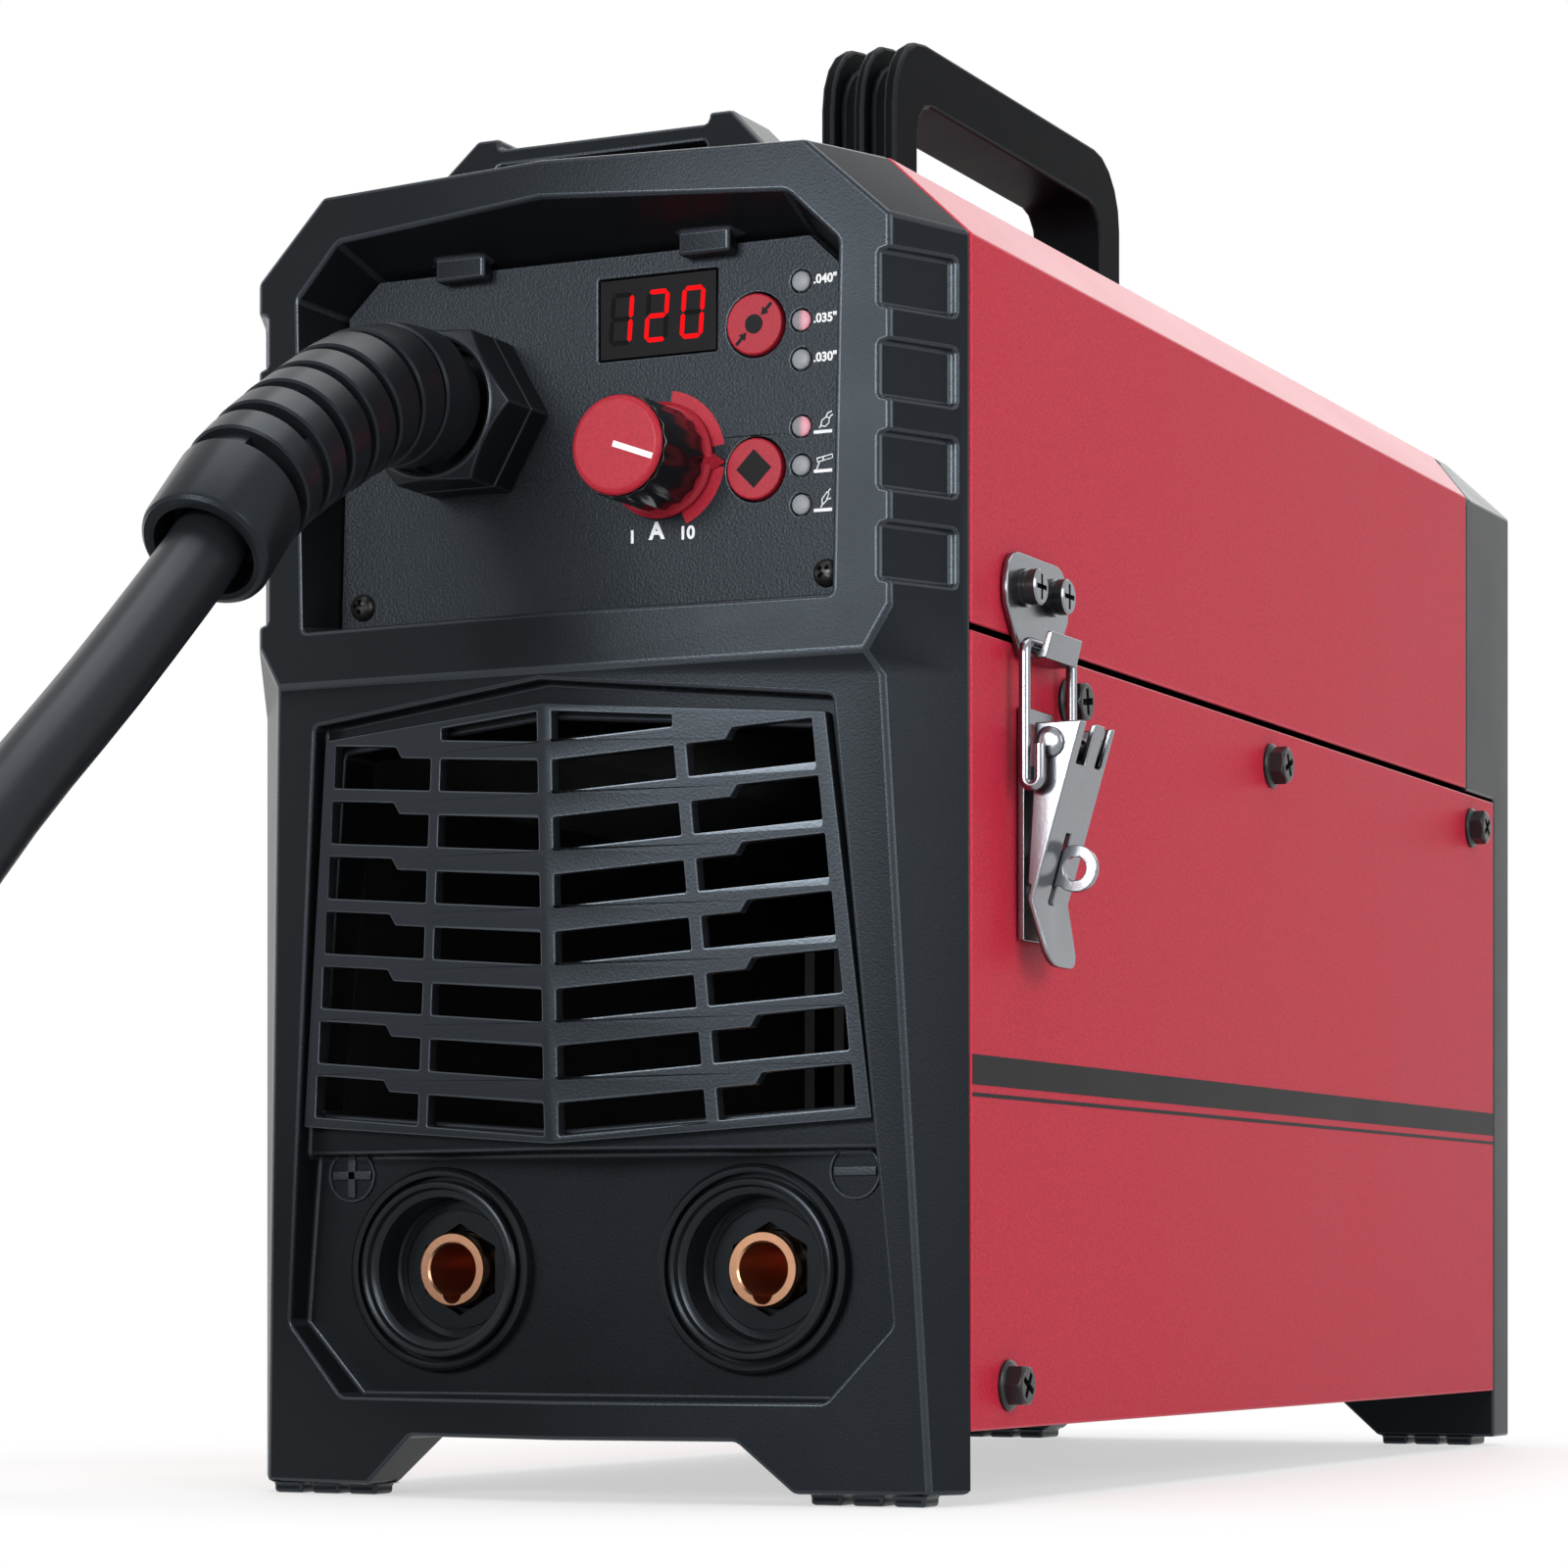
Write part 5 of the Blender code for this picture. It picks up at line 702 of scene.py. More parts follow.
def cableRoute():
    leadIn = [at(*p) for p in cable["boot"][:-1] + cable["fall"]]
    first, last = cable["turns"][0][0], cable["turns"][-1][0]
    count = int((last - first) / cable["turnStep"])
    turns = [first + (last - first) * i / count for i in range(count + 1)]
    coil = [coilPoint(turn, *between(turn)) for turn in turns]
    return smoothThrough(leadIn + coil, cable["perLeg"])


def makeCable():
    route = cableRoute()
    piece = wire("torch_cable_run", route, cable["radius"])
    length = sum((b - a).length for a, b in zip(route, route[1:]))
    print("torch cable length", round(length, 3))
    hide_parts("torch_cable", "torch_cable_coil")
    dress(piece, "rubberHose")
    return piece, route, length


boot = dict(
    neck=5.5, neckRadius=10.6, ribs=7, pitch=8.6, radius=12.1, endRadius=11, chamfer=0.4, around=72,
    gap=(0.7, 3), core=4.4, bridgeDrop=1.4, bridge=0.9, collar=14.6, collarRadius=10.9, rim=1.5,
    # back from the boot's end and radius, in its mouth
    mouth=[(0.2, 8.5), (0.8, 8.2), (8, 8.2), (8, 6.3)])


def bootRows():
    # distance along the boot, radius, and which gap the row is the floor of
    chamfer, rim, outer = boot["chamfer"], boot["rim"], boot["collarRadius"]
    rows = [(0, boot["neckRadius"], None), (boot["neck"], boot["neckRadius"], None)]
    for rib in range(boot["ribs"]):
        share = rib / (boot["ribs"] - 1)
        radius = boot["radius"] + (boot["endRadius"] - boot["radius"]) * share
        gap = boot["gap"][0] + (boot["gap"][1] - boot["gap"][0]) * share
        first = boot["neck"] + rib * boot["pitch"]
        last = first + boot["pitch"] - gap
        rows += [(first, radius - chamfer, None), (first + chamfer, radius, None),
                 ((first + last) / 2, radius, None), (last - chamfer, radius, None),
                 (last, radius - chamfer, None), (last, radius, rib), (last + gap, radius, rib)]
    first = boot["neck"] + boot["ribs"] * boot["pitch"]
    last = first + boot["collar"]
    rows += [(first, outer - chamfer, None), (first + chamfer, outer, None), (last - rim, outer, None)]
    for step in (30, 60, 90):
        angle = radians(step)
        rows.append((last - rim + rim * sin(angle), outer - rim + rim * cos(angle), None))
    return rows + [(last - back, radius, None) for back, radius in boot["mouth"]]


def makeBoot():
    # a grid rolled round the bent line, with rows at each rib's edges
    line = smoothThrough([at(*p) for p in cable["boot"]], 40)
    spans = [0]
    for first, second in zip(line, line[1:]):
        spans.append(spans[-1] + (second - first).length * 1000)
    rows = bootRows()
    piece = newMesh(bpy.ops.mesh.primitive_grid_add, "torch_boot_ribbed", x_subdivisions=boot["around"],
                    y_subdivisions=len(rows) - 1, size=1)
    for vert in piece.data.vertices:
        angle = 2 * pi * (vert.co.x + 0.5)
        along, radius, gap = rows[round((vert.co.y + 0.5) * (len(rows) - 1))]
        if gap is not None:
            bridged = abs(sin(angle + pi / 2 * (gap % 2))) > boot["bridge"]
            radius -= boot["bridgeDrop"] if bridged else boot["core"]
        index = max(i for i in range(len(spans) - 1) if spans[i] <= along)
        step = line[index + 1] - line[index]
        middle = line[index] + step * ((along - spans[index]) / (spans[index + 1] - spans[index]))
        up = rightward.cross(step.normalized())
        vert.co = middle + (rightward * cos(angle) + up * sin(angle)) * radius / 1000
    editAll(piece)
    weld(5)
    selectAll("DESELECT")
    bpy.ops.mesh.select_non_manifold()
    bpy.ops.mesh.edge_face_add()
    closeUp()
    smoothShade(piece, 30)
    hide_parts("torch_boot")
    return dress(piece, "ribbedRubber")


strap = dict(turn=0.5, inner=54.2, outer=80.7, low=0.5, high=26.9, corner=6, width=16, thick=0.9,
             tail=12, edge=0.2)


def makeStrap():
    # a hook-and-loop tie round the four turns, closed on the outside
    angle = 2 * pi * strap["turn"]
    outward = Vector((-sin(angle), -cos(angle), 0))
    along = upward.cross(outward)
    middle = at(*cable["coilMiddle"], 0) - along * strap["width"] / 2000
    corner = strap["corner"]
    low, high = strap["low"] + corner, strap["high"] - corner
    inner, outer = strap["inner"] + corner, strap["outer"] - corner
    points = []
    for i, (radius, height) in enumerate(((outer, high), (inner, high), (inner, low), (outer, low))):
        spot = middle + outward * radius / 1000 + upward * height / 1000
        points += ring(spot, corner, 90 * i, 90 * i + 90, 6, outward)
    points.append(points[0])
    tail = [points[0] + outward * strap["thick"] / 1000]
    tail.append(tail[0] - upward * strap["tail"] / 1000)
    pieces = []
    for line in (points, tail):
        pieces.append(drawLine("coil_tie", line))
        pull(along * strap["width"] / 1000)
        weld(4)
        leaveEdit()
    piece = joined("coil_tie", pieces)
    applyModifier(piece, "SOLIDIFY", thickness=strap["thick"] / 1000, offset=0)
    roundEdges(piece, strap["edge"])
    return dress(piece, "strapCloth")


cablePiece, cableLine, cableLength = makeCable()
bootPiece = makeBoot()
strapPiece = makeStrap()
print("cable, boot and tie made")


# torch, lying on the coil

torch = dict(rear=(-192.5, -174), height=39.5)


def torchAt(across, along, height=0):
    return at(torch["rear"][0] + across, torch["rear"][1] + along, torch["height"] + height)


neck = dict(
    start=99.3, bendAt=113, bendRadius=32, bend=45, radius=8.5, end=16, lap=10,
    # along each turned part and radius, from its rear round to the open end
    tip=[(-1, 3.5), (24, 3.5), (25, 3.1), (36, 2.6), (38, 1.9), (38, 0.7), (20, 0.6), (-1, 0.6), (-1, 3.5)],
    nozzle=[(0, 8.8), (0, 10.2), (0.3, 10.5), (16, 10.5), (16.3, 10.1), (17, 10.1), (17.3, 10.5),
            (21.5, 10.5), (21.8, 10.1), (22.5, 10.1), (22.8, 10.5), (26, 10.5), (27.5, 10.3),
            (45, 8.7), (51.5, 8.1), (52, 7.8), (52, 7.1), (51.6, 6.7), (30, 8.2), (26, 8.8), (0, 8.8)],
    collar=[(-11, 8.55), (-10.6, 9), (-6, 10.6), (-5, 11), (-0.6, 11), (-0.1, 10.6), (-0.1, 8.55),
            (-11, 8.55)])


def makeNeck():
    turn = radians(neck["bend"])
    way = Vector((sin(turn), cos(turn), 0))
    points = [torchAt(0, neck["start"])]
    points += ring(torchAt(neck["bendRadius"], neck["bendAt"]), neck["bendRadius"], 180, 180 - neck["bend"],
                   16, up=rearward)
    end = points[-1] + way * neck["end"] / 1000
    tube = asMesh(wire("torch_neck_tube", points + [end], neck["radius"], 8))
    smoothShade(tube)
    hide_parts("torch_neck")
    dress(tube, "rubberHose")
    tip = turned("contact_tip", neck["tip"], end, way, 24)
    dress(tip, "copperMetal")
    seat = end - way * neck["lap"] / 1000
    nozzle = turned("torch_nozzle_shell", neck["nozzle"], seat, way, 56)
    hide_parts("torch_nozzle")
    dress(nozzle, "chromePlate")
    collar = turned("nozzle_collar", neck["collar"], seat, way)
    dress(collar, "ribbedRubber")
    return [tube, tip, nozzle, collar]


# radius and depth are given for the screw holes and for the bore that takes the cable
grip = dict(faces=(25.5, 53.5), holes=((-6.5, 94), (-7, 58)), hole=(2.7, 3.5), tail=(6.9, 9), ribs=13,
            first=8, pitch=2.5, width=1.1, reach=8, rise=0.45, edge=0.15)


def blindHole(name, size, mouth, way, steps):
    radius, depth = size
    return turned(name, [(-1, 0), (-1, radius), (depth, radius), (depth, 0)], mouth, way, steps)


def gripCuts():
    # two blind screw holes in each side and the bore
    tools = []
    for across, along in grip["holes"]:
        for face, inward in zip(grip["faces"], (upward, -upward)):
            mouth = torchAt(across, along, face - torch["height"])
            tools.append(blindHole("hole_tool", grip["hole"], mouth, inward, 24))
    tools.append(blindHole("tail_tool", grip["tail"], torchAt(0, 0), rearward, 32))
    return tools


def makeGrip():
    handle = softened("torch_handle", "bezelPlastic", 0.6, angle=40, cuts=gripCuts())
    reach, width = grip["reach"], grip["width"]
    bars = []
    for face, way in zip(grip["faces"], (-1, 1)):
        lift = Vector((0, 0, (face - torch["height"]) / 1000))
        for i in range(grip["ribs"]):
            along = grip["first"] + i * grip["pitch"]
            corners = [torchAt(*spot) + lift for spot in oblong(-reach, reach, along, along + width)]
            bars.append(plate("grip_rib", corners, upward * way * grip["rise"]))
    ribs = joined("torch_grip_ribs", bars)
    roundEdges(ribs, grip["edge"])
    dress(ribs, "bezelPlastic")
    return [handle, ribs]


# its face is given across and along, down the outer side
trigger = dict(face=((19.75, 57), (22.5, 68), (19.75, 83)), pitch=1.7, half=5.1, width=0.9, rise=0.45)


def makeTrigger():
    skin = softened("torch_trigger", "redPlastic", 0.8)
    pitch, half = trigger["pitch"] / 1000, upward * trigger["half"] / 1000
    bars = []
    for first, last in zip(trigger["face"], trigger["face"][1:]):
        start, end = torchAt(*first), torchAt(*last)
        along = (end - start).normalized()
        rise = along.cross(upward) * trigger["rise"]
        reach = along * trigger["width"] / 2000
        for i in range(int((end - start).length / pitch)):
            bars.append(barPlate("trigger_rib", start + along * (i + 0.5) * pitch, reach, half, rise))
    ribs = joined("trigger_ribs", bars)
    roundEdges(ribs, grip["edge"])
    coat(ribs, "redPlastic")
    return joined("torch_trigger_ribbed", [skin, ribs])


hook = dict(back=-14.9, start=84.5, curlAt=96, radius=4.4, sweep=205, half=8, strip=1.1, edge=0.2)


def makeHook():
    # a strip that lies on the grip's back and curls over
    low = -hook["half"]
    curl = torchAt(hook["back"] - hook["radius"], hook["curlAt"], low)
    points = [torchAt(hook["back"], hook["start"], low)]
    points += ring(curl, hook["radius"], 0, hook["sweep"], 28, up=rearward)
    piece = drawLine("torch_hook_strip", points)
    pull(upward * 2 * hook["half"] / 1000)
    leaveEdit()
    applyModifier(piece, "SOLIDIFY", thickness=hook["strip"] / 1000, offset=0)
    roundEdges(piece, hook["edge"], angle=40)
    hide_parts("torch_hook")
    return dress(piece, "chromePlate")


sleeve = dict(radius=8.7, marks=10, steps=4, taper=0.2, groove=0.92)


def makeSleeve():
    # a grooved sleeve on the cable where it goes into the grip, thinner away from it
    rear = torchAt(0, 0).y
    line = smoothThrough(cableLine[-sleeve["marks"]:], sleeve["steps"])
    line = [point for point in line if point.y <= rear]
    piece = wire("torch_sleeve", line, sleeve["radius"])
    for i, point in enumerate(piece.data.splines[0].points):
        point.radius = 1 - sleeve["taper"] * (1 - i / (len(line) - 1))
        if i % sleeve["steps"] == 1:
            point.radius *= sleeve["groove"]
    asMesh(piece)
    smoothShade(piece)
    return dress(piece, "ribbedRubber")


torchPieces = [*makeNeck(), *makeGrip(), makeTrigger(), makeHook(), makeSleeve()]
print("torch made")


# torch gland: a chamfered hexagon nut on the hexagon flange

gland = dict(
    x=-22.9, z=188, corner=14.9, rear=-6.4, front=-16.2, edge=0.35,
    # forward of the panel's face and radius: the cone that takes the nut's front corners off
    cone=[(6.4, 10.7), (6.4, 15.6), (13.3, 15.6), (16.2, 12.5), (16.2, 11.9), (15.6, 11.6), (11, 11.6),
          (11, 10.7), (6.4, 10.7)])


def makeGland():
    softened("torch_gland", "bezelPlastic", 0.4)
    middle = at(gland["x"], gland["rear"], gland["z"])
    thickness = forward * (gland["rear"] - gland["front"])
    nut = plate("gland_nut_hex", hexagon(middle, gland["corner"]), thickness)
    carve(nut, turned("gland_cone", gland["cone"], at(gland["x"], 0, gland["z"]), forward, 96), "INTERSECT")
    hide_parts("gland_nut")
    dress(nut, "bezelPlastic")
    # the nut's bevel faces take the bezel plastic's painted edge highlight
    nut.data.materials.append(surfaces["bezelPlasticEdge"])
    roundEdges(nut, gland["edge"], angle=24, edgeSlot=1)


makeGland()


# output sockets and their copper contacts

outlet = dict(
    places={"positive": -30.5, "negative": 30.5}, z=39.8, hexCorner=8.2, hexFloor=11.5, hexTop=8.2,
    # forward of the panel's face and radius, from the rear bore round the rims into the well
    socket=[(-22, 6.9), (-22, 14.8), (-3.3, 14.8), (-3.3, 18), (-1.4, 18), (-0.8, 17.8), (-0.5, 17.3),
            (-0.5, 16.8), (-0.8, 16.4), (-2.8, 16.3), (-2.8, 15.7), (-0.7, 15.6), (-0.3, 15.3), (-0.2, 14.9),
            (-0.4, 14.4), (-1.3, 14), (-1.5, 13.3), (-1.9, 12.8), (-8.1, 12.5), (-8.5, 12.1), (-8.5, 10.9),
            (-8.8, 10.8), (-8.8, 10.5), (-8.5, 10.4), (-8.5, 6.9), (-22, 6.9)],
    contact=[(-40, 0), (-40, 6.3), (-39.6, 6.6), (-6, 6.6), (-5.6, 6.3), (-5.6, 4.9), (-5.9, 4.6),
             (-31.6, 4.6), (-31.6, 0)],
    keyRadius=1.9, keyDrop=4.2, keyFrom=5, keyTo=17, boreFrom=6, boreRadius=6.3)


def makeOutlet(side, x):
    z = outlet["z"]
    middle = at(x, 0, z)
    socket = turned("socket_" + side + "_shell", outlet["socket"], middle, forward, 72, 28)
    pocket = hexagon(at(x, outlet["hexFloor"], z), outlet["hexCorner"], 30)
    carve(socket, plate("hex_pocket", pocket, forward * (outlet["hexFloor"] - outlet["hexTop"])))
    smoothShade(socket, 28)
    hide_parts("socket_" + side)
    dress(socket, "socketPlastic")
    contact = turned("contact_" + side + "_tube", outlet["contact"], middle, forward)
    key = circle(at(x, outlet["keyTo"], z - outlet["keyDrop"]), outlet["keyRadius"])
    carve(contact, plate("key_way", key, forward * (outlet["keyTo"] - outlet["keyFrom"])))
    smoothShade(contact, 30)
    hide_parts("contact_" + side)
    dress(contact, "copperMetal")
    # the bore inside the contact takes the darker copper as painted shade
    mouth = at(x, outlet["boreFrom"], z)
    darken(contact, "copperBoreShade", lambda spot, normal: spot.y > mouth.y and Vector(
        (spot.x - mouth.x, spot.z - mouth.z)).length < outlet["boreRadius"] / 1000)


polarity = dict(plusAt=(-49.3, 56.5), minusAt=(49.3, 56.3), plateY=3, rise=0.5, bar=3.9, barHalf=0.75,
                edge=0.12, rim=[(-0.2, 4.3), (-0.2, 4.8), (0.4, 4.8), (0.5, 4.7), (0.5, 4.4), (0.4, 4.3),
                                (-0.2, 4.3)])


def makePolarity(name, place, upright):
    middle = at(place[0], polarity["plateY"], place[1])
    pieces = [turned("polarity_rim", polarity["rim"], middle, forward)]
    ways = ((rightward, upward), (upward, leftward)) if upright else ((rightward, upward),)
    for along, across in ways:
        reach, half = along * polarity["bar"] / 1000, across * polarity["barHalf"] / 1000
        pieces.append(barPlate("polarity_bar", middle, reach, half, forward * polarity["rise"]))
        roundEdges(pieces[-1], polarity["edge"])
    # the raised marks take the bezel plastic's paler, shinier copy, a painted highlight
    dress(joined(name, pieces), "bezelPlasticEdge")


for side, x in outlet["places"].items():
    makeOutlet(side, x)
makePolarity("plus_mark", polarity["plusAt"], True)
makePolarity("minus_mark", polarity["minusAt"], False)
print("gland and sockets made")


# display: three leaning digits behind the window

display = dict(x=13, z=203.3, y=0.3, shows="120", pitch=6.85, width=3.6, height=8.2, bar=0.8, gap=0.1,
               lean=0.075, thick=0.06)
strokes = {"a": ((0, 2), (1, 2)), "b": ((1, 2), (1, 1)), "c": ((1, 1), (1, 0)), "d": ((0, 0), (1, 0)),
           "e": ((0, 1), (0, 0)), "f": ((0, 2), (0, 1)), "g": ((0, 1), (1, 1))}
litStrokes = {"0": "abcdef", "1": "bc", "2": "abdeg"}


def segment(digit, stroke):
    def corner(column, row):
        x = display["x"] + (digit - 1) * display["pitch"] + (column - 0.5) * display["width"]
        z = (row - 1) * display["height"] / 2
        return Vector((x + z * display["lean"], display["z"] + z))

    first, last = [corner(*end) for end in strokes[stroke]]
    along = (last - first).normalized()
    half = display["bar"] / 2
    across = Vector((-along.y, along.x)) * half
    first, last = first + along * display["gap"], last - along * display["gap"]
    shape = [first, first + along * half + across, last - along * half + across, last,
             last - along * half - across, first + along * half - across]
    return plate("segment", [at(p.x, display["y"], p.y) for p in shape], forward * display["thick"])


def makeDisplay():
    softened("display_module", "darkWindow", 0.05, 1)
    lit, dim = [], []
    for digit, figure in enumerate(display["shows"]):
        for stroke in strokes:
            group = lit if stroke in litStrokes[figure] else dim
            group.append(segment(digit, stroke))
    dress(joined("digits_lit", lit), "segmentOn")
    dress(joined("digits_dim", dim), "segmentOff")


makeDisplay()


# panel print, buttons, lamps and knob

scale = dict(x=14.2, z=178.2, inner=9.2, outer=12, arcs=((80.5, 9.7), (-9.4, -67.5)),
             marks=(("1", 8.4, 165.5, 2.1), ("A", 13.1, 166.2, 2.8), ("10", 18.9, 165.5, 2.1)))
wireSizes = dict(x=45, height=1.45, rows=((".040\"", 206.5), (".035\"", 199.9), (".030\"", 193.3)))
printed = dict(y=-0.01, thick=0.05, pen=0.13, modeRows=(182, 175.4, 168.8), modeX=42.9, modeDrop=1.5,
               bar=(3.4, 0.55), tall=0.9)
# small line drawings right of the lower lamps, in millimetres from the left end of each bar
pictograms = (
    [[(1.3, 1.1), (1.5, 2.1), (2.3, 2.7), (2.9, 2.4), (2.8, 1.5), (2.1, 0.9), (1.3, 1.1)],
     [(2.3, 2.7), (2.6, 3.4), (3.4, 3.7)], [(2.9, 2.4), (3.2, 2.9), (3.6, 3)], [(1.3, 1.1), (1, 0.7)]],
    [[(0.6, 2.4), (3.4, 3), (3.5, 2.3), (0.7, 1.7), (0.6, 2.4)], [(1.7, 2.6), (1.8, 1.95)],
     [(1.1, 1.8), (0.5, 0.3)]],
    [[(1.6, 1), (1.5, 2), (2.4, 3.3), (2.8, 3), (2.3, 1.6), (1.6, 1)], [(2.6, 3.2), (3.1, 3.9)],
     [(2.5, 1.9), (3.2, 2.1)], [(1.6, 1), (1.3, 0.5)]],
)


def onPanel(x, z):
    return at(x, printed["y"], z)


def makePrint():
    middle = onPanel(scale["x"], scale["z"])
    thickness = forward * printed["thick"]
    bands = []
    for first, last in scale["arcs"]:
        outer = ring(middle, scale["outer"], first, last, 24)
        inner = ring(middle, scale["inner"], last, first, 24)
        bands.append(plate("scale_band", outer + inner, thickness))
    dress(joined("scale_band", bands), "redPrint")
    words = []
    for mark, x, z, height in scale["marks"]:
        words.append(lettering("scale_mark", mark, onPanel(x, z), height))
    for size, z in wireSizes["rows"]:
        words.append(lettering("wire_size", size, onPanel(wireSizes["x"], z), wireSizes["height"]))
    length, high = printed["bar"]
    for row, drawing in zip(printed["modeRows"], pictograms):
        x, z = printed["modeX"], row - printed["modeDrop"]
        corners = [onPanel(*spot) for spot in oblong(x, x + length, z, z + high)]
        words.append(plate("mode_bar", corners, thickness))
        for line in drawing:
            points = [onPanel(x + a, z + high / 2 + b * printed["tall"]) for a, b in line]
            words.append(asMesh(wire("mode_line", points, printed["pen"], 2)))
    dress(joined("panel_print", words), "whitePrint")


buttons = dict(x=32, upperZ=199.9, lowerZ=175.4, face=-0.82, thick=0.05, dot=1.65, diamond=3.3,
               # along and half across an arrow that points at the dot
               arrow=[(1.9, 0), (3.2, 0.8), (3.2, 0.28), (4.7, 0.28)])


def makeButtons():
    softened("wire_button", "redPlastic", 0.4)
    softened("mode_button", "redPlastic", 0.4)
    thickness = forward * buttons["thick"]
    middle = at(buttons["x"], buttons["face"], buttons["upperZ"])
    pieces = [plate("button_dot", circle(middle, buttons["dot"]), thickness)]
    outline = buttons["arrow"] + [(a, -b) for a, b in reversed(buttons["arrow"][1:])]
    for turn in (45, 225):
        along, across = faceWay(turn)
        points = [middle + (along * a + across * b) / 1000 for a, b in outline]
        pieces.append(plate("button_arrow", points, thickness))
    dress(joined("wire_button_mark", pieces), "blackPrint", body="upper_button")
    centre = at(buttons["x"], buttons["face"], buttons["lowerZ"])
    mark = plate("mode_button_mark", ring(centre, buttons["diamond"], 0, 270, 3), thickness)
    dress(mark, "blackPrint", body="lower_button")


lights = dict(x=40.5, rows=(206.5, 199.9, 193.3, 182, 175.4, 168.8), lit=(1, 3),
              lens=[(-0.3, 0), (-0.3, 1.68), (0.06, 1.68), (0.2, 1.5), (0.32, 1), (0.38, 0.5),
                    (0.4, 0)])


def makeLights():
    for i, z in enumerate(lights["rows"]):
        lens = turned("lamp_lens_" + str(i + 1), lights["lens"], at(lights["x"], 0, z), forward, 32, 60)
        dress(lens, "lensLit" if i in lights["lit"] else "lensGrey")


knobLine = dict(x=14.2, z=178.2, face=-17.5, near=-0.4, far=7.5, half=0.5, turn=-20, thick=0.06)
skirt = dict(disc=[(0.3, 0), (0.3, 9.7), (0.5, 9.95), (1.2, 9.95), (1.7, 9.3), (1.7, 0)],
             base=9, reach=12.3, half=1.9, low=0.35, step=0.2, high=2.2, turn=-5.5)


def makeSkirt():
    # a thin disc with a ridged pointer
    middle = at(knobLine["x"], 0, knobLine["z"])
    disc = turned("knob_skirt_disc", skirt["disc"], middle, forward, 64)
    along, across = faceWay(skirt["turn"])
    foot = middle + along * skirt["base"] / 1000 + forward * skirt["low"] / 1000
    tip = middle + along * skirt["reach"] / 1000 + forward * skirt["low"] / 1000
    corners = [foot - across * skirt["half"] / 1000, tip, foot + across * skirt["half"] / 1000]
    pointer = plate("knob_pointer", corners, forward * skirt["step"])
    # its front face is drawn together into a ridge
    editAll(pointer)
    selectAll("DESELECT")
    leaveEdit()
    front = max(face.center.dot(forward) for face in pointer.data.polygons)
    for face in pointer.data.polygons:
        face.select = abs(face.center.dot(forward) - front) < 0.00001
    bpy.ops.object.mode_set(mode="EDIT")
    pull(forward * (skirt["high"] - skirt["low"]) / 1000)
    bpy.ops.mesh.merge(type="CENTER")
    bpy.ops.transform.translate(value=-along * (skirt["reach"] - skirt["base"]) / 3000)
    leaveEdit()
    piece = joined("knob_skirt_pointer", [disc, pointer])
    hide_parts("knob_skirt")
    dress(piece, "redPlastic", "knob")


def makeKnob():
    softened("knob_body", "glossPlastic", 0.2, angle=50)
    softened("knob_cap", "redPlastic", 0.4)
    makeSkirt()
    along, across = faceWay(knobLine["turn"])
    across = across * knobLine["half"] / 1000
    middle = at(knobLine["x"], knobLine["face"], knobLine["z"])
    first, last = [middle + along * reach / 1000 for reach in (knobLine["near"], knobLine["far"])]
    corners = [first - across, last - across, last + across, first + across]
    dress(plate("knob_line", corners, forward * knobLine["thick"]), "whitePrint", body="knob")


makePrint()
makeButtons()
makeLights()
makeKnob()
print("panel dressed")


# screws: each kind drawn once at the origin, then copied to its places

caseScrew = dict(
    flange=[(0, 0), (0, 4.4), (0.5, 4.4), (0.9, 4), (1.1, 3.3), (1.1, 0)], corner=3.8, foot=0.9, top=3.9,
    cone=[(0.5, 0), (0.5, 4.2), (3.1, 4.2), (3.9, 3), (4, 0)], slot=(1.1, 4.6, 1.4), edge=0.12, x=69.12,
    # back from the panel's face and up; the hinge takes two of the places on the left
    right=((48.9, 139.4), (155.7, 139.4), (290.1, 139.4), (21.8, 20)), left=((290.1, 139.4), (21.8, 20)))
panelScrew = dict(
    head=[(-0.5, 0), (-0.5, 2.4), (0.3, 2.4), (0.9, 2.1), (1.35, 1.5), (1.6, 0.8), (1.65, 0)],
    slot=(0.75, 2.6, 1.2), x=45.3, z=156.9)
keeperScrew = dict(
    head=[(-0.3, 0), (-0.3, 3.3), (0.4, 3.3), (0.5, 2.9), (0.9, 2.9), (1, 3.1), (2.6, 3.1), (2.9, 2.8),
          (2.95, 0)],
    slot=(0.85, 4.4, 1.2), y=(25.7, 38.3), z=156.3, x=70.9)
hingeScrew = dict(
    head=[(-0.3, 0), (-0.3, 2.7), (0.5, 2.7), (1, 2.3), (1.3, 1.6), (1.4, 0)], slot=(0.7, 3.4, 0.9),
    y=(42, 96, 150, 204, 258), x=-70.42, z={"case": 138.5, "lid": 156.3})


def crossCut(piece, slot, top):
    width, length, depth = [value / 1000 for value in slot]
    for turn in (0, 90):
        tool = newMesh(bpy.ops.mesh.primitive_cube_add, "cross_tool", (0, 0, top / 1000), size=1,
                       scale=(length, width, 2 * depth), rotation=(0, 0, radians(turn)))
        carve(piece, tool)


def makeCaseScrew():
    foot, top = caseScrew["foot"], caseScrew["top"]
    corners = hexagon(Vector((0, 0, foot / 1000)), caseScrew["corner"], up=rearward)
    head = plate("case_screw_head", corners, upward * (top - foot))
    carve(head, turned("screw_cone", caseScrew["cone"], (0, 0, 0), upward), "INTERSECT")
    crossCut(head, caseScrew["slot"], top)
    roundEdges(head, caseScrew["edge"])
    flange = turned("case_screw_flange", caseScrew["flange"], (0, 0, 0), upward, 40)
    return joined("case_screw", [head, flange])


def makeTurnedScrew(name, look):
    head = turned(name, look["head"], (0, 0, 0), upward, 40)
    crossCut(head, look["slot"], look["head"][-1][0])
    smoothShade(head, 30)
    return head


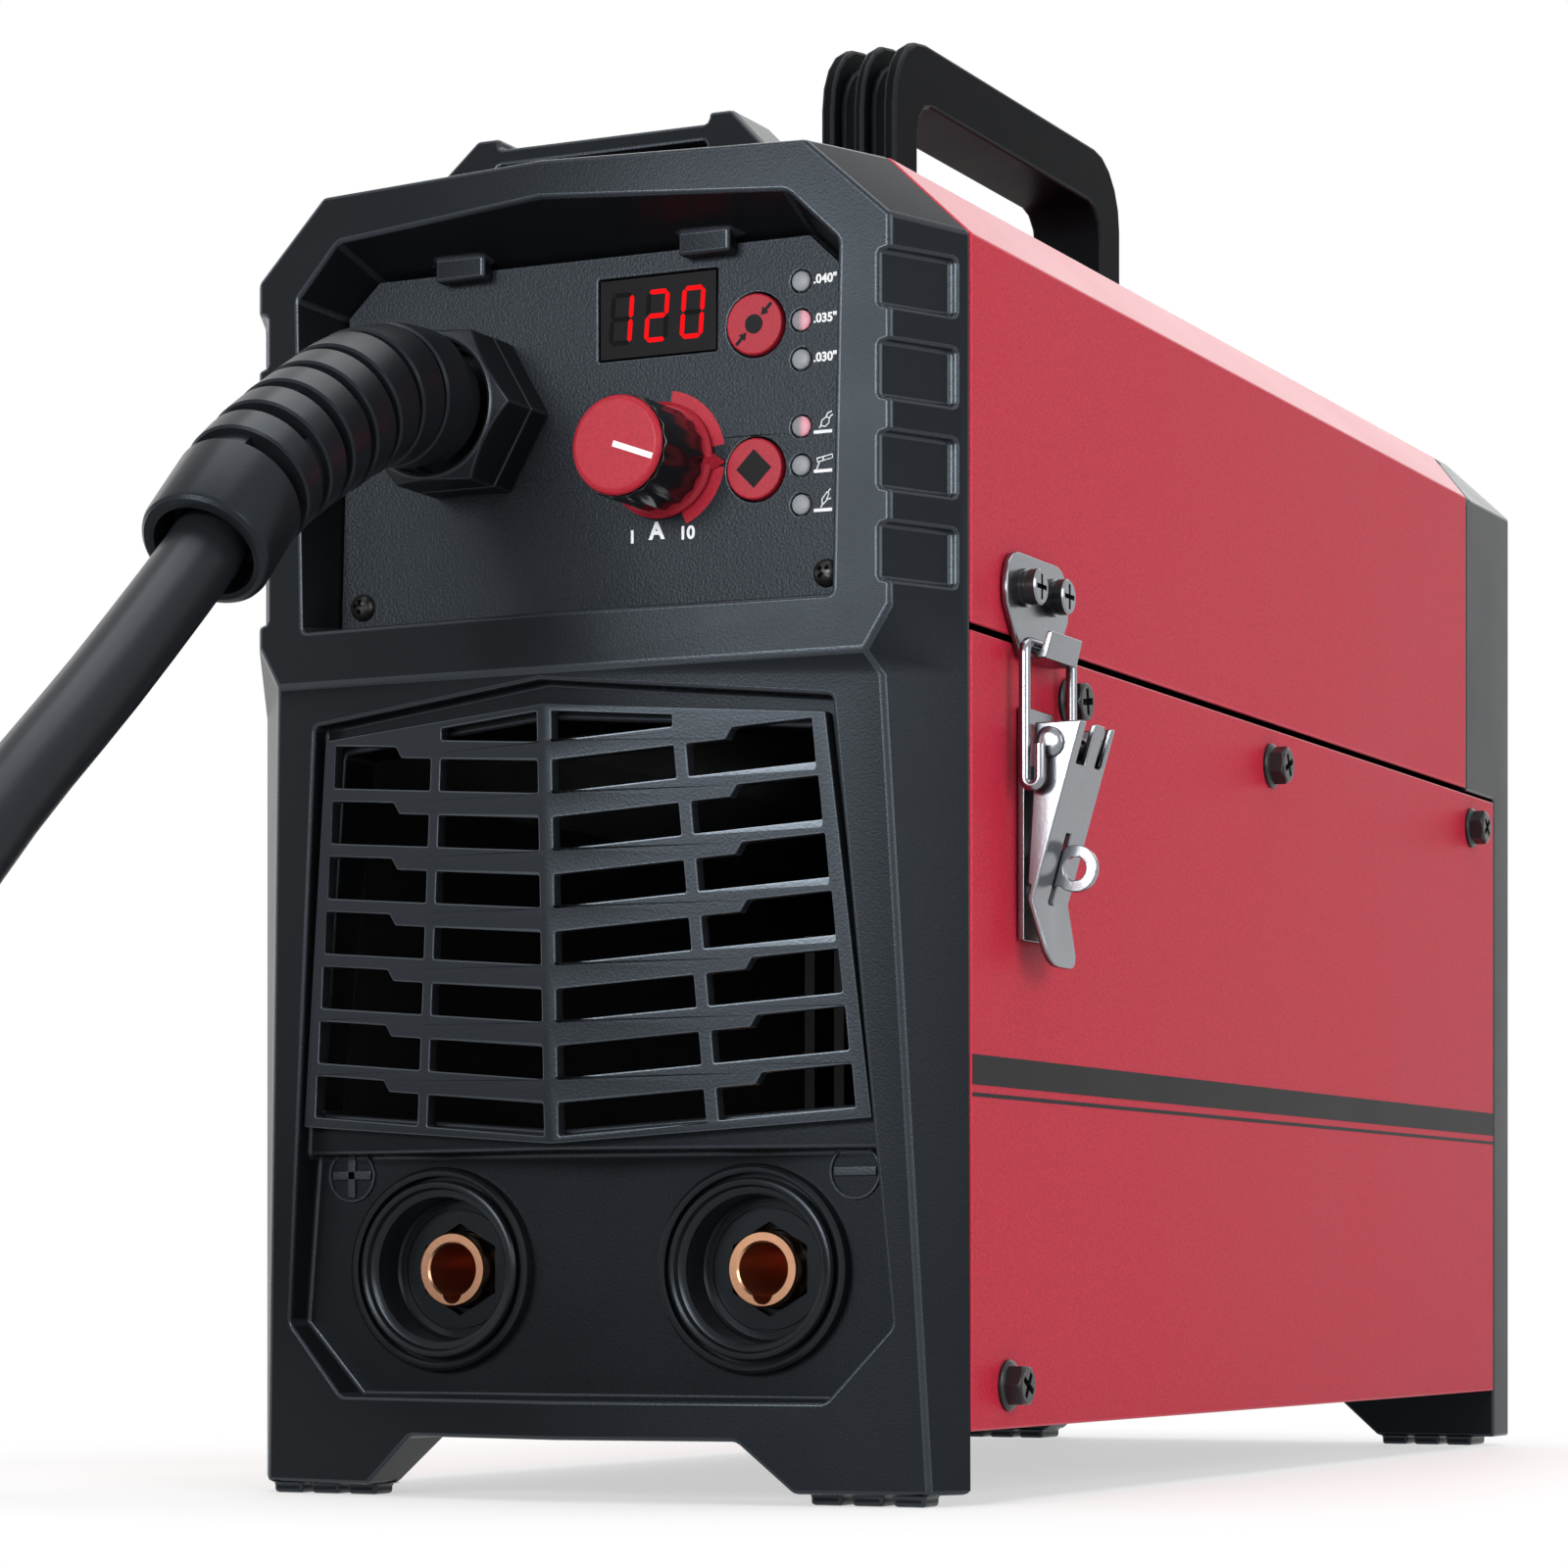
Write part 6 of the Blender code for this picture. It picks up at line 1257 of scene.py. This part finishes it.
def placeScrews(pattern, rows, finish):
    # each row is a name's ending, a place, the way out, a turn and a body
    screws = []
    for ending, place, way, turn, body in rows:
        screw = copyTo(pattern, pattern.name + "_" + ending, place, way, turn)
        screws.append(dress(screw, finish, body))
    discard(pattern)
    return screws


placeScrews(makeCaseScrew(), [
    (name + "_" + str(i + 1), at(side * caseScrew["x"], y, z), way, 17 * i + 8, "case")
    for name, way, side in sides for i, (y, z) in enumerate(caseScrew[name])], "blackOxideAndShade")
placeScrews(makeTurnedScrew("panel_screw", panelScrew), [
    (name, at(side * panelScrew["x"], 0, panelScrew["z"]), forward, 20 + 25 * side, "case")
    for name, way, side in reversed(sides)], "blackOxideAndShade")
keeperScrews = placeScrews(makeTurnedScrew("keeper_screw", keeperScrew), [
    (str(i + 1), at(keeperScrew["x"], y, keeperScrew["z"]), rightward, 0, "lid")
    for i, y in enumerate(keeperScrew["y"])], "brightPlate")
# the sides of the plated heads are painted dark as shade; only their outward faces stay bright
for screw in keeperScrews:
    darken(screw, "blackOxideAndShade", lambda spot, normal: normal.x < 0.6)
placeScrews(makeTurnedScrew("hinge_screw", hingeScrew), [
    (body + "_" + str(i + 1), at(hingeScrew["x"], y, z), leftward, 23 * i, body)
    for body, z in hingeScrew["z"].items()
    for i, y in enumerate(hingeScrew["y"])], "zincPlate")
print("screws placed")


# draw latch: the wire bail, the slotted lever, and the keeper that draws in a little above its neck

bail = dict(out=72.4, y=32, top=146.5, half=10.6, low=121.9, bend=1.4, rise=7, corner=2, wire=1)


def makeBail():
    out, low, bend, corner = bail["out"], bail["low"], bail["bend"], bail["corner"]
    halves = []
    for side in (1, -1):
        y = bail["y"] + side * bail["half"]
        leg = [at(out + 2 * bend, y, low + bail["rise"])]
        leg += ring(at(out + bend, y, low + bend), bend, 0, -180, 12)
        shoulder = at(out, y - side * corner, bail["top"] - corner)
        halves.append(leg + ring(shoulder, corner, 0, 90, 8, rearward * side))
    piece = asMesh(wire("latch_bail_wire", halves[0] + halves[1][::-1], bail["wire"], 4))
    smoothShade(piece)
    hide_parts("latch_bail")
    dress(piece, "brightPlate", "bail")


lever = dict(slots=((-5.2, -0.9), (3.3, 6.6)), y=32, low=126, high=134, inner=77, outer=84,
             pinHalf=6.5)


def slotTools():
    # two open slots in the lever's top edge
    inner, outer, low, high = lever["inner"], lever["outer"], lever["low"], lever["high"]
    tools = []
    for first, last in lever["slots"]:
        place = at((inner + outer) / 2, lever["y"] + (first + last) / 2, (low + high) / 2)
        size = [value / 1000 for value in (outer - inner, last - first, high - low)]
        tools.append(newMesh(bpy.ops.mesh.primitive_cube_add, "slot_tool", place, size=1, scale=size))
    return tools


def makeLever():
    skin = softened("latch_lever", "brightPlate", 0.3, cuts=slotTools())
    # the lever's faces towards the case are painted dark as shade
    darken(skin, "blackOxideAndShade", lambda spot, normal: normal.x < -0.3)
    pin = softened("latch_pin", "brightPlate", 0.4)
    middle = at(0, lever["y"], 0).y
    # the pin's middle, inside the lever, is painted dark as shade
    darken(pin, "blackOxideAndShade", lambda spot, normal: abs(spot.y - middle) < lever["pinHalf"] / 1000)


keeper = dict(y=32, neck=147, full=156, width=0.88)


def makeKeeper():
    skin = softened("keeper_plate", "brightPlate", 0.3)
    middle = at(0, keeper["y"], 0).y
    for vert in skin.data.vertices:
        share = (vert.co.z * 1000 - keeper["neck"]) / (keeper["full"] - keeper["neck"])
        share = min(1, max(0, share))
        vert.co.y = middle + (vert.co.y - middle) * (1 - share * (1 - keeper["width"]))


makeBail()
makeLever()
makeKeeper()
print("latch made")


# painted stripes along the lower side panels

stripes = dict(x=69.1, front=6.6, rear=307.6, bands=((75.8, 70.7), (69.4, 68.7)), thick=0.06)


def makeStripes():
    front, rear = stripes["front"], stripes["rear"]
    for name, way, side in sides:
        bands = []
        for high, low in stripes["bands"]:
            corners = [at(side * stripes["x"], *spot) for spot in oblong(front, rear, low, high)]
            bands.append(plate("stripe_band", corners, way * stripes["thick"]))
        dress(joined("side_stripe_" + name, bands), "blackPrint")


makeStripes()


# the other solids: finish and edge radius in millimetres

def facesInward(spot, normal):
    # looks towards the case's own middle line, half way up
    middle = at(0, 160, 110)
    return normal.dot(Vector((middle.x - spot.x, 0, middle.z - spot.z)).normalized()) > 0.35


def facesUpAndOut(spot, normal):
    # a chamfer between the lid's top and a side, which takes a glossier, darker copy of the paint as a
    # painted highlight
    return 0.3 < normal.z < 0.95 and abs(normal.x) > 0.3


for nodeName, finish, width in (
        ("front_bezel", "bezelPlastic", 0.7), ("control_panel", "panelPlastic", 0.3),
        ("lid_shell", "redPaint", 0.4), ("side_panel_right", "redPaint", 0.4),
        ("side_panel_left", "redPaint", 0.4), ("carry_handle", "handlePlastic", 0.7),
        ("rear_bezel", "bezelPlastic", 0.6), ("latch_base", "brightPlate", 0.2),
        ("power_switch", "bezelPlastic", 0.4), ("power_rocker", "glossPlastic", 0.5),
        ("mains_gland", "bezelPlastic", 0.5), ("fan_frame", "bezelPlastic", 0.4)):
    skin = softened(nodeName, finish, width)
    if finish == "redPaint":
        # the lid's chamfer takes the painted highlight
        darken(skin, "redPaintHighlight", facesUpAndOut)
        # faces inside the red sheets are painted near black as shade, so the slots look dark
        darken(skin, "insidePaintedShade", facesInward)
softened("intake_grille", "grillePlastic", 0.25, angle=40, flatten=False)
softened("rear_panel", "rearPaint", 0.2, angle=40, flatten=False)

painted = dict(
    zincPlate=("hinge_leaf_case", "hinge_leaf_lid", "hinge_pin", "potentiometer", "base_tray", "mid_deck",
               "feed_motor", "drive_roll", "pressure_roll", "spool_spindle"),
    bezelPlastic=("fan_rotor", "spool_hub"), boardGreen=("control_board", "inverter_board"),
    drawnAluminium=("feed_plate", "pressure_arm"), lensGrey=("wire_lights", "mode_lights"),
    blackAnodisedShade=("heat_sink",), windingWire=("transformer",))
for finish, nodeNames in painted.items():
    for nodeName in nodeNames:
        coat(frame["nodes"][nodeName], finish)
print("solids dressed")
